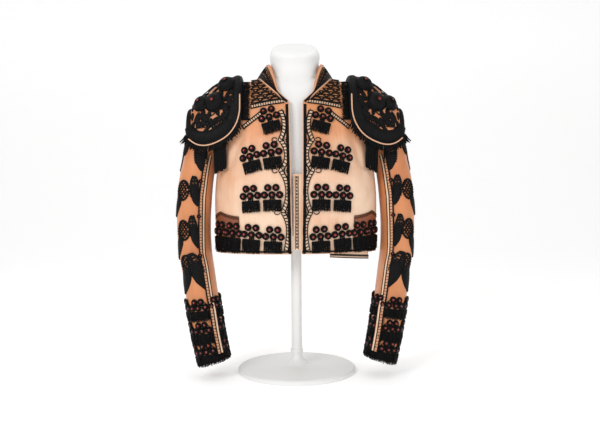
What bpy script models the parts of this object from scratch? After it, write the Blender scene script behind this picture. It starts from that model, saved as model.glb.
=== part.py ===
"""Matador jacket on a limbless dress form that stands on a round base.

The wearer's right is at -X, the front faces -Y and +Z is up, all in metres. The origin is the middle
of the base's flat underside. Every wall of cloth is an outer grid worked out from the tables below
and an inner grid one wall thickness under it. What lies on the cloth is drawn flat, as arc length
from the front centre line and height, and then laid on the same surface.
"""
import math

import bmesh
import bpy
import numpy as np


class Table:
    """Rows of named columns, read as smooth or straight curves over the first column."""

    def __init__(self, names, rows):
        self.names = names
        self.values = np.array(rows, dtype=float)
        self.knots = self.values[:, 0]

    def column(self, name):
        """All values of one column."""
        return self.values[:, self.names.index(name)]

    def straight(self, name, key):
        """The column at key, straight between the rows."""
        return np.interp(key, self.knots, self.column(name))

    def smooth(self, name, key):
        """The column at key on a cubic that keeps the mean slope at each row."""
        column = self.column(name)
        slopes = np.gradient(column, self.knots)
        key = np.clip(np.asarray(key, dtype=float), self.knots[0], self.knots[-1])
        low = np.clip(np.searchsorted(self.knots, key, side="right") - 1, 0, len(self.knots) - 2)
        step = self.knots[low + 1] - self.knots[low]
        t = (key - self.knots[low]) / step
        start = column[low] * (1 + 2 * t) * (1 - t) ** 2
        end = column[low + 1] * (3 - 2 * t) * t ** 2
        bend = slopes[low] * t * (1 - t) ** 2 - slopes[low + 1] * (1 - t) * t ** 2
        return start + end + bend * step


# Driving dimensions, in metres
CLOTH = 0.0025
LINING_GAP = 0.0016
SEAM_GAP = 0.0005
TRIM_LIFT = 0.0008
TRIM_WALL = 0.0016
HEM_HEIGHT = 0.290
NECK_FRONT_HEIGHT = 0.627
NECK_HEIGHT = 0.688
SHOULDER_HEIGHT = 0.668
UNDERARM_HEIGHT = 0.478
BODY_SQUARENESS = 2.4
SLEEVE_SQUARENESS = 2.2
PAD_SQUARENESS = 2.6
PAD_WALL = 0.010
BEAD_HEIGHT = 0.0072
BEAD_PITCH = 0.0165
BEAD_TOP = 0.6
CELL_LEVELS = (0.0002, 0.0012)
FRINGE_TIP = 0.62
BASE_RADIUS = 0.140
POLE_RADIUS = 0.0125
FORM_BOTTOM = 0.330

# The body's level sections: the front edge is at edge_x, and the side seam or armhole at side_x
BODY = Table(
    ("height", "half_width", "front_depth", "back_depth", "edge_x", "side_x"),
    (
        (HEM_HEIGHT, 0.1880, 0.1000, 0.1000, 0.0105, 0.1880),
        (0.3300, 0.1895, 0.1060, 0.1040, 0.0109, 0.1895),
        (0.3750, 0.1905, 0.1120, 0.1080, 0.0115, 0.1905),
        (0.4250, 0.1900, 0.1170, 0.1120, 0.0122, 0.1900),
        (UNDERARM_HEIGHT, 0.1850, 0.1180, 0.1140, 0.0128, 0.1850),
        (0.4900, 0.1835, 0.1175, 0.1138, 0.0129, 0.1740),
        (0.5150, 0.1800, 0.1150, 0.1125, 0.0133, 0.1650),
        (0.5500, 0.1765, 0.1090, 0.1090, 0.0138, 0.1595),
        (0.5850, 0.1745, 0.1020, 0.1040, 0.0142, 0.1590),
        (0.6100, 0.1735, 0.0955, 0.0990, 0.0145, 0.1605),
        (NECK_FRONT_HEIGHT, 0.1730, 0.0900, 0.0945, 0.0148, 0.1630),
        (0.6380, 0.1725, 0.0860, 0.0910, 0.0290, 0.1650),
        (0.6520, 0.1720, 0.0790, 0.0815, 0.0450, 0.1680),
        (SHOULDER_HEIGHT, 0.1705, 0.0690, 0.0740, 0.0630, 0.1705),
        (0.6770, 0.1530, 0.0610, 0.0695, 0.0725, 0.1530),
        (0.6830, 0.1300, 0.0545, 0.0660, 0.0785, 0.1300),
        (0.6865, 0.1080, 0.0495, 0.0645, 0.0820, 0.1080),
        (NECK_HEIGHT, 0.0900, 0.0460, 0.0620, 0.0845, 0.0900),
    ),
)

# The sleeve's sections, from the armhole to just past the cuff: where its outer and inner outlines run
SLEEVE = Table(
    ("run", "outer_x", "outer_z", "inner_x", "inner_z", "mid_y", "half_depth"),
    (
        (0, 0.1712, 0.6640, 0.1690, 0.5320, 0.000, 0.0535),
        (1, 0.2030, 0.6400, 0.1745, 0.5280, 0.000, 0.0545),
        (2, 0.2290, 0.6120, 0.1790, 0.5220, -0.001, 0.0545),
        (3, 0.2470, 0.5770, 0.1830, 0.5120, -0.002, 0.0540),
        (4, 0.2600, 0.5300, 0.1880, 0.4940, -0.004, 0.0530),
        (5, 0.2720, 0.4700, 0.1940, 0.4560, -0.007, 0.0520),
        (6, 0.2790, 0.4100, 0.1985, 0.4060, -0.010, 0.0510),
        (7, 0.2800, 0.3500, 0.2010, 0.3500, -0.013, 0.0500),
        (8, 0.2750, 0.2900, 0.1990, 0.2950, -0.018, 0.0490),
        (9, 0.2670, 0.2350, 0.1915, 0.2410, -0.024, 0.0470),
        (10, 0.2560, 0.1700, 0.1825, 0.1790, -0.032, 0.0450),
        (11, 0.2430, 0.1000, 0.1725, 0.1120, -0.041, 0.0430),
        (12, 0.2300, 0.0440, 0.1625, 0.0610, -0.048, 0.0415),
        (13, 0.2240, 0.0180, 0.1580, 0.0380, -0.051, 0.0410),
    ),
)
CUFF_RUN = 12
SEAM_TURN = math.radians(122)
SLEEVE_STEPS = 15

# The shoulder piece across the shoulder: its ridge and its lower ends at the front and the back
PAD = Table(
    ("across", "x", "ridge_z", "front_y", "front_z", "back_y", "back_z"),
    (
        (0.00, 0.1240, 0.6960, -0.0900, 0.5880, 0.0950, 0.5900),
        (0.16, 0.1450, 0.6945, -0.0870, 0.5600, 0.0930, 0.5640),
        (0.36, 0.1700, 0.6860, -0.0840, 0.5410, 0.0890, 0.5460),
        (0.55, 0.1950, 0.6700, -0.0780, 0.5320, 0.0820, 0.5370),
        (0.73, 0.2180, 0.6500, -0.0710, 0.5330, 0.0740, 0.5380),
        (0.88, 0.2380, 0.6290, -0.0610, 0.5430, 0.0630, 0.5470),
        (1.00, 0.2530, 0.6040, -0.0470, 0.5580, 0.0490, 0.5610),
    ),
)
PAD_COLUMNS = Table(
    ("across", "raised"),
    (
        (0.00, 0.000),
        (0.04, 0.004),
        (0.10, 0.004),
        (0.15, 0.000),
        (0.33, 0.000),
        (0.50, 0.000),
        (0.68, 0.000),
        (0.85, 0.000),
        (0.90, 0.004),
        (0.96, 0.004),
        (1.00, 0.000),
    ),
)
PAD_STEPS = 12
DOME_RADIUS = 0.0185
DOME_HEIGHT = 0.0120
DOME_DEPTH = 0.0070
DOME_RINGS = ((0.90, -DOME_DEPTH), (1.0, 0.1 * DOME_HEIGHT), (0.55, DOME_HEIGHT))
DOMES = Table(("across", "arch"), ((0.24, 0.34), (0.47, 0.52), (0.71, 0.47)))

# The collar's top edge, from the front corner round to the middle of the back
COLLAR = Table(
    ("round", "top_x", "top_y", "top_z"),
    (
        (0.00, 0.0155, -0.0890, 0.6330),
        (0.12, 0.0250, -0.0840, 0.6410),
        (0.26, 0.0380, -0.0740, 0.6570),
        (0.40, 0.0460, -0.0580, 0.6880),
        (0.50, 0.0570, -0.0360, 0.7200),
        (0.62, 0.0640, -0.0050, 0.7260),
        (0.80, 0.0480, 0.0460, 0.7290),
        (1.00, 0.0000, 0.0650, 0.7300),
    ),
)

# The ladder braid swings out to a peak at each of these heights and back towards the edge between
BRAID = Table(
    ("height", "peak", "trough_above"),
    (
        (0.300, 0.0225, 0.0190),
        (0.385, 0.0295, 0.0200),
        (0.4774, 0.0340, 0.0220),
        (0.546, 0.0340, 0.0270),
        (0.612, 0.0335, 0.0270),
    ),
)
BRAID_HALF_WIDTH = 0.003
BRAID_LOW = 0.296
BRAID_STEPS = 30

# Each golpe: its row, the middle of its lower beads and how far its outer end leans down, in degrees
GOLPES = Table(
    ("row", "x", "height", "lean"),
    (
        (1, 0.0598, 0.5970, 14),
        (2, 0.0557, 0.5180, 8),
        (2, 0.1030, 0.5095, 14),
        (3, 0.0547, 0.4243, 1),
        (3, 0.1030, 0.4219, 4),
        (4, 0.0526, 0.3304, -3),
        (4, 0.1012, 0.3350, -4),
        (4, 0.1440, 0.3380, -3),
        (4, 0.1740, 0.3400, 0),
    ),
)
GOLPE_WIDTH = 0.039
GOLPE_DROP = 0.0085
GOLPE_FRINGE = 0.0260
GOLPE_LOCKS = 5
GOLPE_ROOT = 0.004

CUFF_TIERS = Table(("height", "length"), ((0.1556, 0.0200), (0.1045, 0.0200), (0.0600, 0.0220)))
CUFF_LOCKS = 14
CUFF_LIFT = 0.0018
CUFF_ROOT = 0.006
FORM = Table(
    ("height", "half_width", "front_depth", "back_depth", "slant"),
    (
        (FORM_BOTTOM, 0.1580, 0.0840, 0.0840, 0.0),
        (0.400, 0.1660, 0.0960, 0.0930, 0.0),
        (0.470, 0.1650, 0.1010, 0.0980, 0.0),
        (0.530, 0.1560, 0.0960, 0.0960, 0.0),
        (0.580, 0.1500, 0.0870, 0.0900, 0.0),
        (0.620, 0.1460, 0.0770, 0.0820, 0.0),
        (0.648, 0.1400, 0.0660, 0.0730, 0.0),
        (0.6735, 0.1300, 0.0530, 0.0620, 0.0),
        (0.6834, 0.1050, 0.0450, 0.0560, 0.0),
        (0.6863, 0.0800, 0.0440, 0.0530, 0.0),
        (0.697, 0.0630, 0.0560, 0.0560, 0.0),
        (0.718, 0.0570, 0.0565, 0.0565, 0.0),
        (0.757, 0.0565, 0.0565, 0.0565, 0.3),
        (0.765, 0.0520, 0.0520, 0.0520, 0.42),
    ),
)
FORM_SIDES = 18

FRONT_COLUMNS = 10
BACK_HALF_COLUMNS = 8
TOP_SLEEVE_COLUMNS = 11
UNDER_SLEEVE_COLUMNS = 6
SLEEVE_RADIUS = 0.045
DOME_SIDES = 8
COLLAR_ROWS = 3
COLLAR_LIFT = 0.0009
COLLAR_INSET = 0.0006
PAD_LOCKS = 9
PAD_ROOT = 0.004
PAD_FRINGE = 0.015
PAD_FRINGE_GAP = 0.0012
PAD_INNER_LOCKS = 6
PAD_INNER_ROOT = 0.005
PAD_INNER_FRINGE = 0.022
PAD_INNER_X = 0.1200
PAD_INNER_LOW = 0.592
PAD_INNER_HIGH = 0.664
TASSEL_LOCKS = 5
TASSEL_ROOT = 0.018
TASSEL_LENGTH = 0.071
TASSEL_TUCK = 0.007
TASSEL_START = 0.28
TASSEL_END = 0.48
LINK_HALF_WIDTH = 0.0015
LINK_LEVELS = (0.0005, 0.0010)
WELT_INNER_X = 0.130
WELT_OUTER_X = 0.186
WELT_HEIGHT = 0.3745
WELT_RISE = 0.0085
WELT_HALF_WIDTH = 0.003
UNDERLAP_WALL = 0.0015
UNDERLAP_INNER = -0.007
UNDERLAP_OUTER = 0.024
UNDERLAP_LOW = 0.298
UNDERLAP_TOP = 0.470
TAB_INNER_X = 0.075
TAB_OUTER_X = 0.1695
TAB_LOW = 0.273
TAB_TOP = 0.302
TAB_SLOPE = 0.008
BAND_START_RUN = 3.4
BAND_END_RUNS = 0.15
BAND_LIFT = 0.0009
BAND_HALF_WIDTH = 0.009
FORM_SQUARENESS = 2.2
STAND_SIDES = 20

# Soft creases in the fronts and the back, from (top_arc, top) down to (end_arc, end)
BODY_FOLDS = Table(
    ("top_arc", "top", "end_arc", "end", "depth", "half_width"),
    (
        (0.122, 0.570, 0.168, 0.462, 0.0030, 0.010),
        (0.205, 0.440, 0.150, 0.385, 0.0020, 0.010),
        (0.330, 0.560, 0.300, 0.400, 0.0025, 0.014),
        (0.400, 0.450, 0.395, 0.320, 0.0020, 0.012),
    ),
)

# Creases in the sleeves: middle run and turn, how far they lean, half their span, depth and width in runs
SLEEVE_FOLDS = Table(
    ("run", "turn", "lean", "span", "depth", "half_width"),
    (
        (4.6, 0.5, 0.5, 1.1, 0.0020, 0.45),
        (6.3, 1.2, -0.5, 1.0, 0.0022, 0.45),
        (7.6, 1.7, 0.6, 1.1, 0.0026, 0.45),
        (8.6, 1.0, -0.4, 0.9, 0.0022, 0.45),
        (7.2, -1.6, 0.5, 1.1, 0.0025, 0.45),
    ),
)

PEACH = ((0.86, 0.62, 0.42), 0.42)
COPPER = ((0.72, 0.42, 0.22), 0.38)
DARK_SATIN = ((0.38, 0.20, 0.10), 0.5)
BLACK_CORD = ((0.015, 0.013, 0.013), 0.6)
FORM_WHITE = ((0.86, 0.86, 0.84), 0.45)
ARC_SAMPLES = 361
SLOPE_STEP = 0.0006


def clear_scene():
    """Take out whatever the file opened with."""
    for obj in list(bpy.data.objects):
        bpy.data.objects.remove(obj, do_unlink=True)


def material(name, finish):
    """A Principled material of one colour and roughness, made once."""
    found = bpy.data.materials.get(name)
    if found:
        return found
    colour, roughness = finish
    made = bpy.data.materials.new(name)
    made.use_nodes = True
    shader = made.node_tree.nodes["Principled BSDF"]
    shader.inputs["Base Color"].default_value = (*colour, 1.0)
    shader.inputs["Roughness"].default_value = roughness
    return made


def add_object(name, points, faces, finish_name, finish):
    """An object from points and faces, with its faces turned outwards."""
    mesh = bpy.data.meshes.new(name)
    mesh.from_pydata([tuple(point) for point in points], [], [tuple(face) for face in faces])
    work = bmesh.new()
    work.from_mesh(mesh)
    bmesh.ops.triangulate(work, faces=[face for face in work.faces if len(face.verts) > 3])
    bmesh.ops.recalc_face_normals(work, faces=work.faces)
    work.to_mesh(mesh)
    work.free()
    mesh.shade_smooth()
    mesh.set_sharp_from_angle(angle=math.radians(40))
    mesh.materials.append(material(finish_name, finish))
    obj = bpy.data.objects.new(name, mesh)
    bpy.context.collection.objects.link(obj)
    return obj


def mirrored(points):
    """The same points on the other side of the body."""
    return points * np.array([-1.0, 1.0, 1.0])


def grid_faces(ids):
    """Four-cornered faces between neighbouring rows and columns of point numbers."""
    corners = (ids[:-1, :-1], ids[:-1, 1:], ids[1:, 1:], ids[1:, :-1])
    return [tuple(face) for face in np.stack([corner.ravel() for corner in corners], axis=1)]


def wall(outer, inner, loop=False):
    """A closed wall between two grids of points; a loop's last column joins its first."""
    rows, columns = outer.shape[:2]
    ids = np.arange(rows * columns).reshape(rows, columns)
    if loop:
        ids = np.hstack([ids, ids[:, :1]])
    under = ids + rows * columns
    faces = grid_faces(ids) + grid_faces(under)
    edges = [(ids[0], under[0]), (ids[-1], under[-1])]
    if not loop:
        edges += [(ids[:, 0], under[:, 0]), (ids[:, -1], under[:, -1])]
    for edge, under_edge in edges:
        faces += grid_faces(np.stack([edge, under_edge]))
    points = np.vstack([outer.reshape(-1, 3), inner.reshape(-1, 3)])
    return points, faces


def power(value, squareness):
    """The signed power that turns a circle's sine or cosine into a rounder or squarer section's."""
    return np.sign(value) * np.abs(value) ** (2 / squareness)


def surface_normal(surface, first, second):
    """Unit normal of a surface of two parameters, from its slopes."""
    over = surface(first + SLOPE_STEP, second) - surface(first - SLOPE_STEP, second)
    up = surface(first, second + SLOPE_STEP) - surface(first, second - SLOPE_STEP)
    normal = np.cross(over, up)
    return normal / np.linalg.norm(normal, axis=-1, keepdims=True)


def body_ring(height):
    """Arc lengths and points of level sections on the +X side, from front centre to back centre."""
    turn = np.linspace(0, math.pi, ARC_SAMPLES)
    height = np.asarray(height, dtype=float)[..., None]
    x = BODY.smooth("half_width", height) * power(np.sin(turn), BODY_SQUARENESS)
    front = BODY.smooth("front_depth", height)
    back = BODY.smooth("back_depth", height)
    y = -np.where(turn <= math.pi / 2, front, back) * power(np.cos(turn), BODY_SQUARENESS)
    steps = np.hypot(np.diff(x, axis=-1), np.diff(y, axis=-1))
    lengths = np.concatenate([np.zeros_like(steps[..., :1]), np.cumsum(steps, axis=-1)], axis=-1)
    return lengths, x, y


def on_body(arc, height):
    """Point of the body's plain surface at an arc length from the front centre line and a height."""
    arc, height = np.broadcast_arrays(np.asarray(arc, dtype=float), np.asarray(height, dtype=float))
    lengths, x, y = body_ring(height)
    reach = np.abs(arc)[..., None]
    low = np.clip((lengths <= reach).sum(axis=-1, keepdims=True) - 1, 0, ARC_SAMPLES - 2)
    before = np.take_along_axis(lengths, low, axis=-1)
    after = np.take_along_axis(lengths, low + 1, axis=-1)
    part = (reach - before) / (after - before)
    low_x = np.take_along_axis(x, low, axis=-1)
    low_y = np.take_along_axis(y, low, axis=-1)
    point_x = low_x + part * (np.take_along_axis(x, low + 1, axis=-1) - low_x)
    point_y = low_y + part * (np.take_along_axis(y, low + 1, axis=-1) - low_y)
    return np.concatenate([np.sign(arc)[..., None] * point_x, point_y, height[..., None]], axis=-1)


def arc_to(x, height, back=False):
    """Arc length from the front centre line to where the section at this height reaches x."""
    def one(x_now, height_now):
        lengths, ring_x, _ = body_ring(height_now)
        half = ARC_SAMPLES // 2 + 1
        if back:
            return np.interp(x_now, ring_x[half - 1:][::-1], lengths[half - 1:][::-1])
        return np.interp(x_now, ring_x[:half], lengths[:half])
    return np.vectorize(one)(x, height)


def trough(across, along, depth, half_width):
    """A soft trough: a bell across it and a flatter bell along it, whose ends are at -1 and 1."""
    return -depth * np.exp(-(across / half_width) ** 2) * np.exp(-along ** 4)


def body_fold(arc, height):
    """How far the body's creases push its surface out or in."""
    total = np.zeros(np.broadcast(arc, height).shape)
    for top_arc, top, end_arc, end, depth, half_width in BODY_FOLDS.values:
        run = np.hypot(end_arc - top_arc, end - top)
        side = np.abs(arc) - top_arc
        down = height - top
        along = (side * (end_arc - top_arc) + down * (end - top)) / run ** 2
        across = (side * (end - top) - down * (end_arc - top_arc)) / run
        total = total + trough(across, 2 * along - 1, depth, half_width)
    return total


def body_point(arc, height, lift=0.0):
    """Point on the body's creased surface, moved out by lift."""
    normal = surface_normal(on_body, arc, height)
    out = lift + body_fold(arc, height)
    return on_body(arc, height) + normal * np.asarray(out)[..., None]


def on_sleeve(turn, run):
    """Point of the left sleeve's plain surface: turn is 0 at its outer line and rises to the front."""
    turn, run = np.broadcast_arrays(np.asarray(turn, dtype=float), np.asarray(run, dtype=float))
    outer = np.stack([SLEEVE.smooth("outer_x", run), SLEEVE.smooth("outer_z", run)], axis=-1)
    inner = np.stack([SLEEVE.smooth("inner_x", run), SLEEVE.smooth("inner_z", run)], axis=-1)
    swing = power(np.cos(turn), SLEEVE_SQUARENESS)[..., None]
    flat = (outer + inner) / 2 + (outer - inner) / 2 * swing
    depth = SLEEVE.smooth("half_depth", run) * power(np.sin(turn), SLEEVE_SQUARENESS)
    y = SLEEVE.smooth("mid_y", run) - depth
    return np.stack([flat[..., 0], y, flat[..., 1]], axis=-1)


def sleeve_fold(turn, run):
    """How far the sleeve's creases push its surface in."""
    total = np.zeros(np.broadcast(turn, run).shape)
    for mid_run, mid_turn, lean, span, depth, half_width in SLEEVE_FOLDS.values:
        side = np.angle(np.exp(1j * (turn - mid_turn)))
        total = total + trough(run - mid_run - lean * side, side / span, depth, half_width)
    return total


def sleeve_point(turn, run, lift=0.0):
    """Point on the left sleeve's creased surface, moved out by lift."""
    normal = surface_normal(on_sleeve, turn, run)
    out = lift + sleeve_fold(turn, run)
    return on_sleeve(turn, run) + normal * np.asarray(out)[..., None]


def run_at(height):
    """How far down the sleeve its middle line reaches this height."""
    middle = (SLEEVE.column("outer_z") + SLEEVE.column("inner_z")) / 2
    return np.interp(height, middle[::-1], SLEEVE.knots[::-1])


def on_pad(across, arch):
    """Point of the left shoulder piece's plain surface: arch is -1 at the front, 1 at the back."""
    across, arch = np.broadcast_arrays(np.asarray(across, dtype=float), np.asarray(arch, dtype=float))
    front = arch < 0
    end_y = np.where(front, PAD.smooth("front_y", across), PAD.smooth("back_y", across))
    end_z = np.where(front, PAD.smooth("front_z", across), PAD.smooth("back_z", across))
    ridge = PAD.smooth("ridge_z", across)
    bend = np.abs(arch) * math.pi / 2
    y = end_y * power(np.sin(bend), PAD_SQUARENESS)
    z = end_z + (ridge - end_z) * power(np.cos(bend), PAD_SQUARENESS)
    return np.stack([PAD.smooth("x", across), y, z], axis=-1)


def pad_point(across, arch, lift=0.0):
    """Point on the shoulder piece's surface, moved out by lift; its slopes are taken inside its edge."""
    inner_across = np.clip(across, SLOPE_STEP, 1 - SLOPE_STEP)
    inner_arch = np.clip(arch, SLOPE_STEP - 1, 1 - SLOPE_STEP)
    normal = surface_normal(on_pad, inner_across, inner_arch)
    return on_pad(across, arch) + normal * np.asarray(lift)[..., None]


def comb(locks, root, length, tip, depth, loop=False):
    """A fringe drawn flat: (place along 0..locks, distance down, depth) with one tapering lock per unit."""
    columns = np.arange(locks if loop else locks + 1)
    margin = (1 - tip) / 2
    lines = [np.stack([columns, np.full(len(columns), down), np.full(len(columns), level)], axis=1)
             for level in (depth, 0.0) for down in (0.0, root)]
    tips = [np.stack([np.arange(locks) + side, np.full(locks, length), np.full(locks, level)], axis=1)
            for level in (depth, 0.0) for side in (margin, 1 - margin)]
    starts = np.cumsum([0] + [len(line) for line in lines + tips])
    top, low, under_top, under_low, tip_a, tip_b, under_a, under_b = starts[:8]
    faces = []
    for lock in range(locks):
        after = (lock + 1) % len(columns)
        faces += [
            (top + lock, top + after, low + after, low + lock),
            (under_top + lock, under_top + after, under_low + after, under_low + lock),
            (low + lock, low + after, tip_b + lock, tip_a + lock),
            (under_low + lock, under_low + after, under_b + lock, under_a + lock),
            (top + lock, top + after, under_top + after, under_top + lock),
            (low + lock, tip_a + lock, under_a + lock, under_low + lock),
            (low + after, tip_b + lock, under_b + lock, under_low + after),
            (tip_a + lock, tip_b + lock, under_b + lock, under_a + lock),
        ]
    if not loop:
        for end in (0, locks):
            faces.append((top + end, low + end, under_low + end, under_top + end))
    return np.vstack(lines + tips), faces


def prism(outline, bottom, top):
    """A flat outline of (along, up) points given a thickness from bottom to top."""
    count = len(outline)
    flat = np.array(outline, dtype=float)
    points = np.vstack([np.column_stack([flat, np.full(count, level)]) for level in (bottom, top)])
    faces = [tuple(range(count)), tuple(range(count, 2 * count))]
    for corner in range(count):
        after = (corner + 1) % count
        faces.append((corner, after, count + after, count + corner))
    return points, faces


def bead_cluster():
    """Five beads in a honeycomb, three under two, each rising from its six-sided cell to a smaller top."""
    radius = BEAD_PITCH / math.sqrt(3)
    centres = [(place * BEAD_PITCH, 0.0) for place in (-1, 0, 1)]
    centres += [(place * BEAD_PITCH, 1.5 * radius) for place in (-0.5, 0.5)]
    corners, cells, tops = {}, [], []
    for x, y in centres:
        turn = math.radians(30) + np.arange(6) * math.pi / 3
        ring = np.column_stack([x + radius * np.cos(turn), y + radius * np.sin(turn)])
        cells.append([corners.setdefault((round(a, 6), round(b, 6)), len(corners)) for a, b in ring])
        top = (x, y) + BEAD_TOP * (ring - (x, y))
        tops.append(np.column_stack([top, np.full(6, BEAD_HEIGHT)]))
    ground = np.array(list(corners))
    count = len(ground)
    walls = [np.column_stack([ground, np.full(count, level)]) for level in CELL_LEVELS]
    points = np.vstack(walls + tops)
    edges = {(cell[side], cell[(side + 1) % 6]) for cell in cells for side in range(6)}
    faces = [(a, b, count + b, count + a) for a, b in edges if (b, a) not in edges]
    faces = sorted(faces) + [tuple(cell) for cell in cells]
    for number, cell in enumerate(cells):
        start = 2 * count + 6 * number
        faces.append(tuple(range(start, start + 6)))
        for side in range(6):
            after = (side + 1) % 6
            faces.append((count + cell[side], count + cell[after], start + after, start + side))
    return points, faces


def joined(shapes):
    """Several shapes as one list of points and faces."""
    points, faces, start = [], [], 0
    for shape_points, shape_faces in shapes:
        points.append(shape_points)
        faces += [tuple(start + number for number in face) for face in shape_faces]
        start += len(shape_points)
    return np.vstack(points), faces


def united(layers):
    """The union of layers of shapes; the shapes of one layer don't touch one another."""
    body, *others = [add_object("layer", *joined(layer), "black_cord", BLACK_CORD) for layer in layers]
    for other in others:
        cut = body.modifiers.new("union", "BOOLEAN")
        cut.operation = "UNION"
        cut.solver = "EXACT"
        cut.object = other
    graph = bpy.context.evaluated_depsgraph_get()
    mesh = body.evaluated_get(graph).to_mesh()
    points = np.array([tuple(vertex.co) for vertex in mesh.vertices])
    faces = [tuple(face.vertices) for face in mesh.polygons]
    for obj in [body, *others]:
        bpy.data.objects.remove(obj, do_unlink=True)
    return points, faces


def laid_on_body(flat, side):
    """Flat points (arc, height, depth) laid on the body, on the +X or -X side."""
    points = body_point(flat[:, 0], flat[:, 1], TRIM_LIFT + flat[:, 2])
    return points if side > 0 else mirrored(points)


def body_wall(arc, height):
    """Outer and inner grids of a body panel."""
    return body_point(arc, height), body_point(arc, height, -CLOTH)


def build_fronts():
    """Right and left front: from the hem to the shoulder seam, cut away at the neck and armhole."""
    height = BODY.knots
    start = arc_to(BODY.column("edge_x"), height)
    end = arc_to(BODY.column("side_x"), height) - SEAM_GAP / 2
    share = np.linspace(0, 1, FRONT_COLUMNS)
    arc = start[:, None] + (end - start)[:, None] * share
    outer, inner = body_wall(arc, height[:, None] + 0 * arc)
    add_object("front_left", *wall(outer, inner), "peach_satin", PEACH)
    add_object("front_right", *wall(mirrored(outer), mirrored(inner)), "peach_satin", PEACH)


def build_back():
    """The back in one piece, drawn as its left half and the mirror of that."""
    height = BODY.knots
    start = arc_to(BODY.column("side_x"), height, back=True) + SEAM_GAP / 2
    end = body_ring(height)[0][:, -1]
    share = np.linspace(0, 1, BACK_HALF_COLUMNS)
    arc = start[:, None] + (end - start)[:, None] * share
    outer, inner = body_wall(arc, height[:, None] + 0 * arc)
    outer[:, -1, 0] = 0.0
    inner[:, -1, 0] = 0.0
    outer = np.hstack([outer, mirrored(outer[:, -2::-1])])
    inner = np.hstack([inner, mirrored(inner[:, -2::-1])])
    add_object("back", *wall(outer, inner), "peach_satin", PEACH)


def neckline():
    """Corners of the left half of the neckline, front edge to back centre, as the panels have them."""
    height = BODY.knots[BODY.knots >= NECK_FRONT_HEIGHT]
    front = on_body(arc_to(BODY.straight("edge_x", height), height), height)
    seam = arc_to(BODY.column("side_x")[-1], NECK_HEIGHT, back=True) + SEAM_GAP / 2
    arc = np.linspace(seam, body_ring(NECK_HEIGHT)[0][-1], BACK_HALF_COLUMNS)
    return np.vstack([front, on_body(arc, NECK_HEIGHT + 0 * arc)])


def build_collar():
    """A stand collar from one front corner round the back to the other, its base on the neckline."""
    base = neckline()
    length = np.concatenate([[0], np.cumsum(np.linalg.norm(np.diff(base, axis=0), axis=1))])
    place = length / length[-1]
    base[:, 2] += COLLAR_LIFT
    base[:, :2] *= 1 - COLLAR_INSET / np.linalg.norm(base[:, :2], axis=1, keepdims=True)
    top = np.stack([COLLAR.smooth(name, place) for name in ("top_x", "top_y", "top_z")], axis=1)
    share = np.linspace(0, 1, COLLAR_ROWS)[:, None, None]
    half = base + (top - base) * share
    half[:, -1, 0] = 0.0
    outer = np.hstack([half, mirrored(half[:, -2::-1])])
    normal = np.cross(np.gradient(outer, axis=1), np.gradient(outer, axis=0))
    normal /= np.linalg.norm(normal, axis=-1, keepdims=True)
    add_object("collar", *wall(outer, outer - CLOTH * normal), "black_cord", BLACK_CORD)


def build_sleeves():
    """Each sleeve's top and under piece, parted by the front and back seams."""
    run = np.linspace(0, CUFF_RUN, SLEEVE_STEPS)[:, None]
    gap_turn = SEAM_GAP / SLEEVE_RADIUS
    pieces = (
        ("top", np.linspace(-SEAM_TURN, SEAM_TURN, TOP_SLEEVE_COLUMNS)),
        ("under", np.linspace(SEAM_TURN + gap_turn, 2 * math.pi - SEAM_TURN - gap_turn, UNDER_SLEEVE_COLUMNS)),
    )
    for piece, turns in pieces:
        turn, place = np.broadcast_arrays(turns[None, :], run)
        outer = sleeve_point(turn, place)
        inner = sleeve_point(turn, place, -CLOTH)
        add_object(f"sleeve_left_{piece}", *wall(outer, inner), "copper_satin", COPPER)
        mirror = wall(mirrored(outer), mirrored(inner))
        add_object(f"sleeve_right_{piece}", *mirror, "copper_satin", COPPER)


def dome(centre, normal):
    """A round padded dome on the shoulder piece, its foot inside the pad."""
    side = np.cross(normal, (0.0, 1.0, 0.2))
    side /= np.linalg.norm(side)
    other = np.cross(normal, side)
    turn = np.arange(DOME_SIDES)[:, None] * 2 * math.pi / DOME_SIDES
    points = [centre + normal * level + DOME_RADIUS * part * (side * np.cos(turn) + other * np.sin(turn))
              for part, level in DOME_RINGS]
    faces = [tuple(range(DOME_SIDES)), tuple(range(2 * DOME_SIDES, 3 * DOME_SIDES))]
    for ring in range(2):
        for corner in range(DOME_SIDES):
            after = (corner + 1) % DOME_SIDES
            low = ring * DOME_SIDES
            faces.append((low + corner, low + after, low + DOME_SIDES + after, low + DOME_SIDES + corner))
    return np.vstack(points), faces


def build_pads():
    """The shoulder pieces: thick pads over the shoulders with edge rolls and raised domes."""
    arch = np.linspace(-1, 1, PAD_STEPS + 1)[:, None]
    across, place = np.broadcast_arrays(PAD_COLUMNS.knots[None, :], arch)
    outer = pad_point(across, place, PAD_COLUMNS.column("raised")[None, :] + 0 * place)
    pad = wall(outer, pad_point(across, place, -PAD_WALL + 0 * place))
    layers = [[pad]]
    for across_place, arch_place in DOMES.values:
        layer = []
        for end in (-1, 1):
            centre = on_pad(across_place, end * arch_place)
            normal = surface_normal(on_pad, across_place, end * arch_place)
            layer.append(dome(centre, normal))
        layers.append(layer)
    points, faces = united(layers)
    add_object("shoulder_piece_left", points, faces, "black_cord", BLACK_CORD)
    add_object("shoulder_piece_right", mirrored(points), faces, "black_cord", BLACK_CORD)


def add_pair(name, points, faces):
    """A black trim on the left side and its mirror on the right."""
    add_object(f"{name}_left", points, faces, "black_cord", BLACK_CORD)
    add_object(f"{name}_right", mirrored(points), faces, "black_cord", BLACK_CORD)


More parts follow.
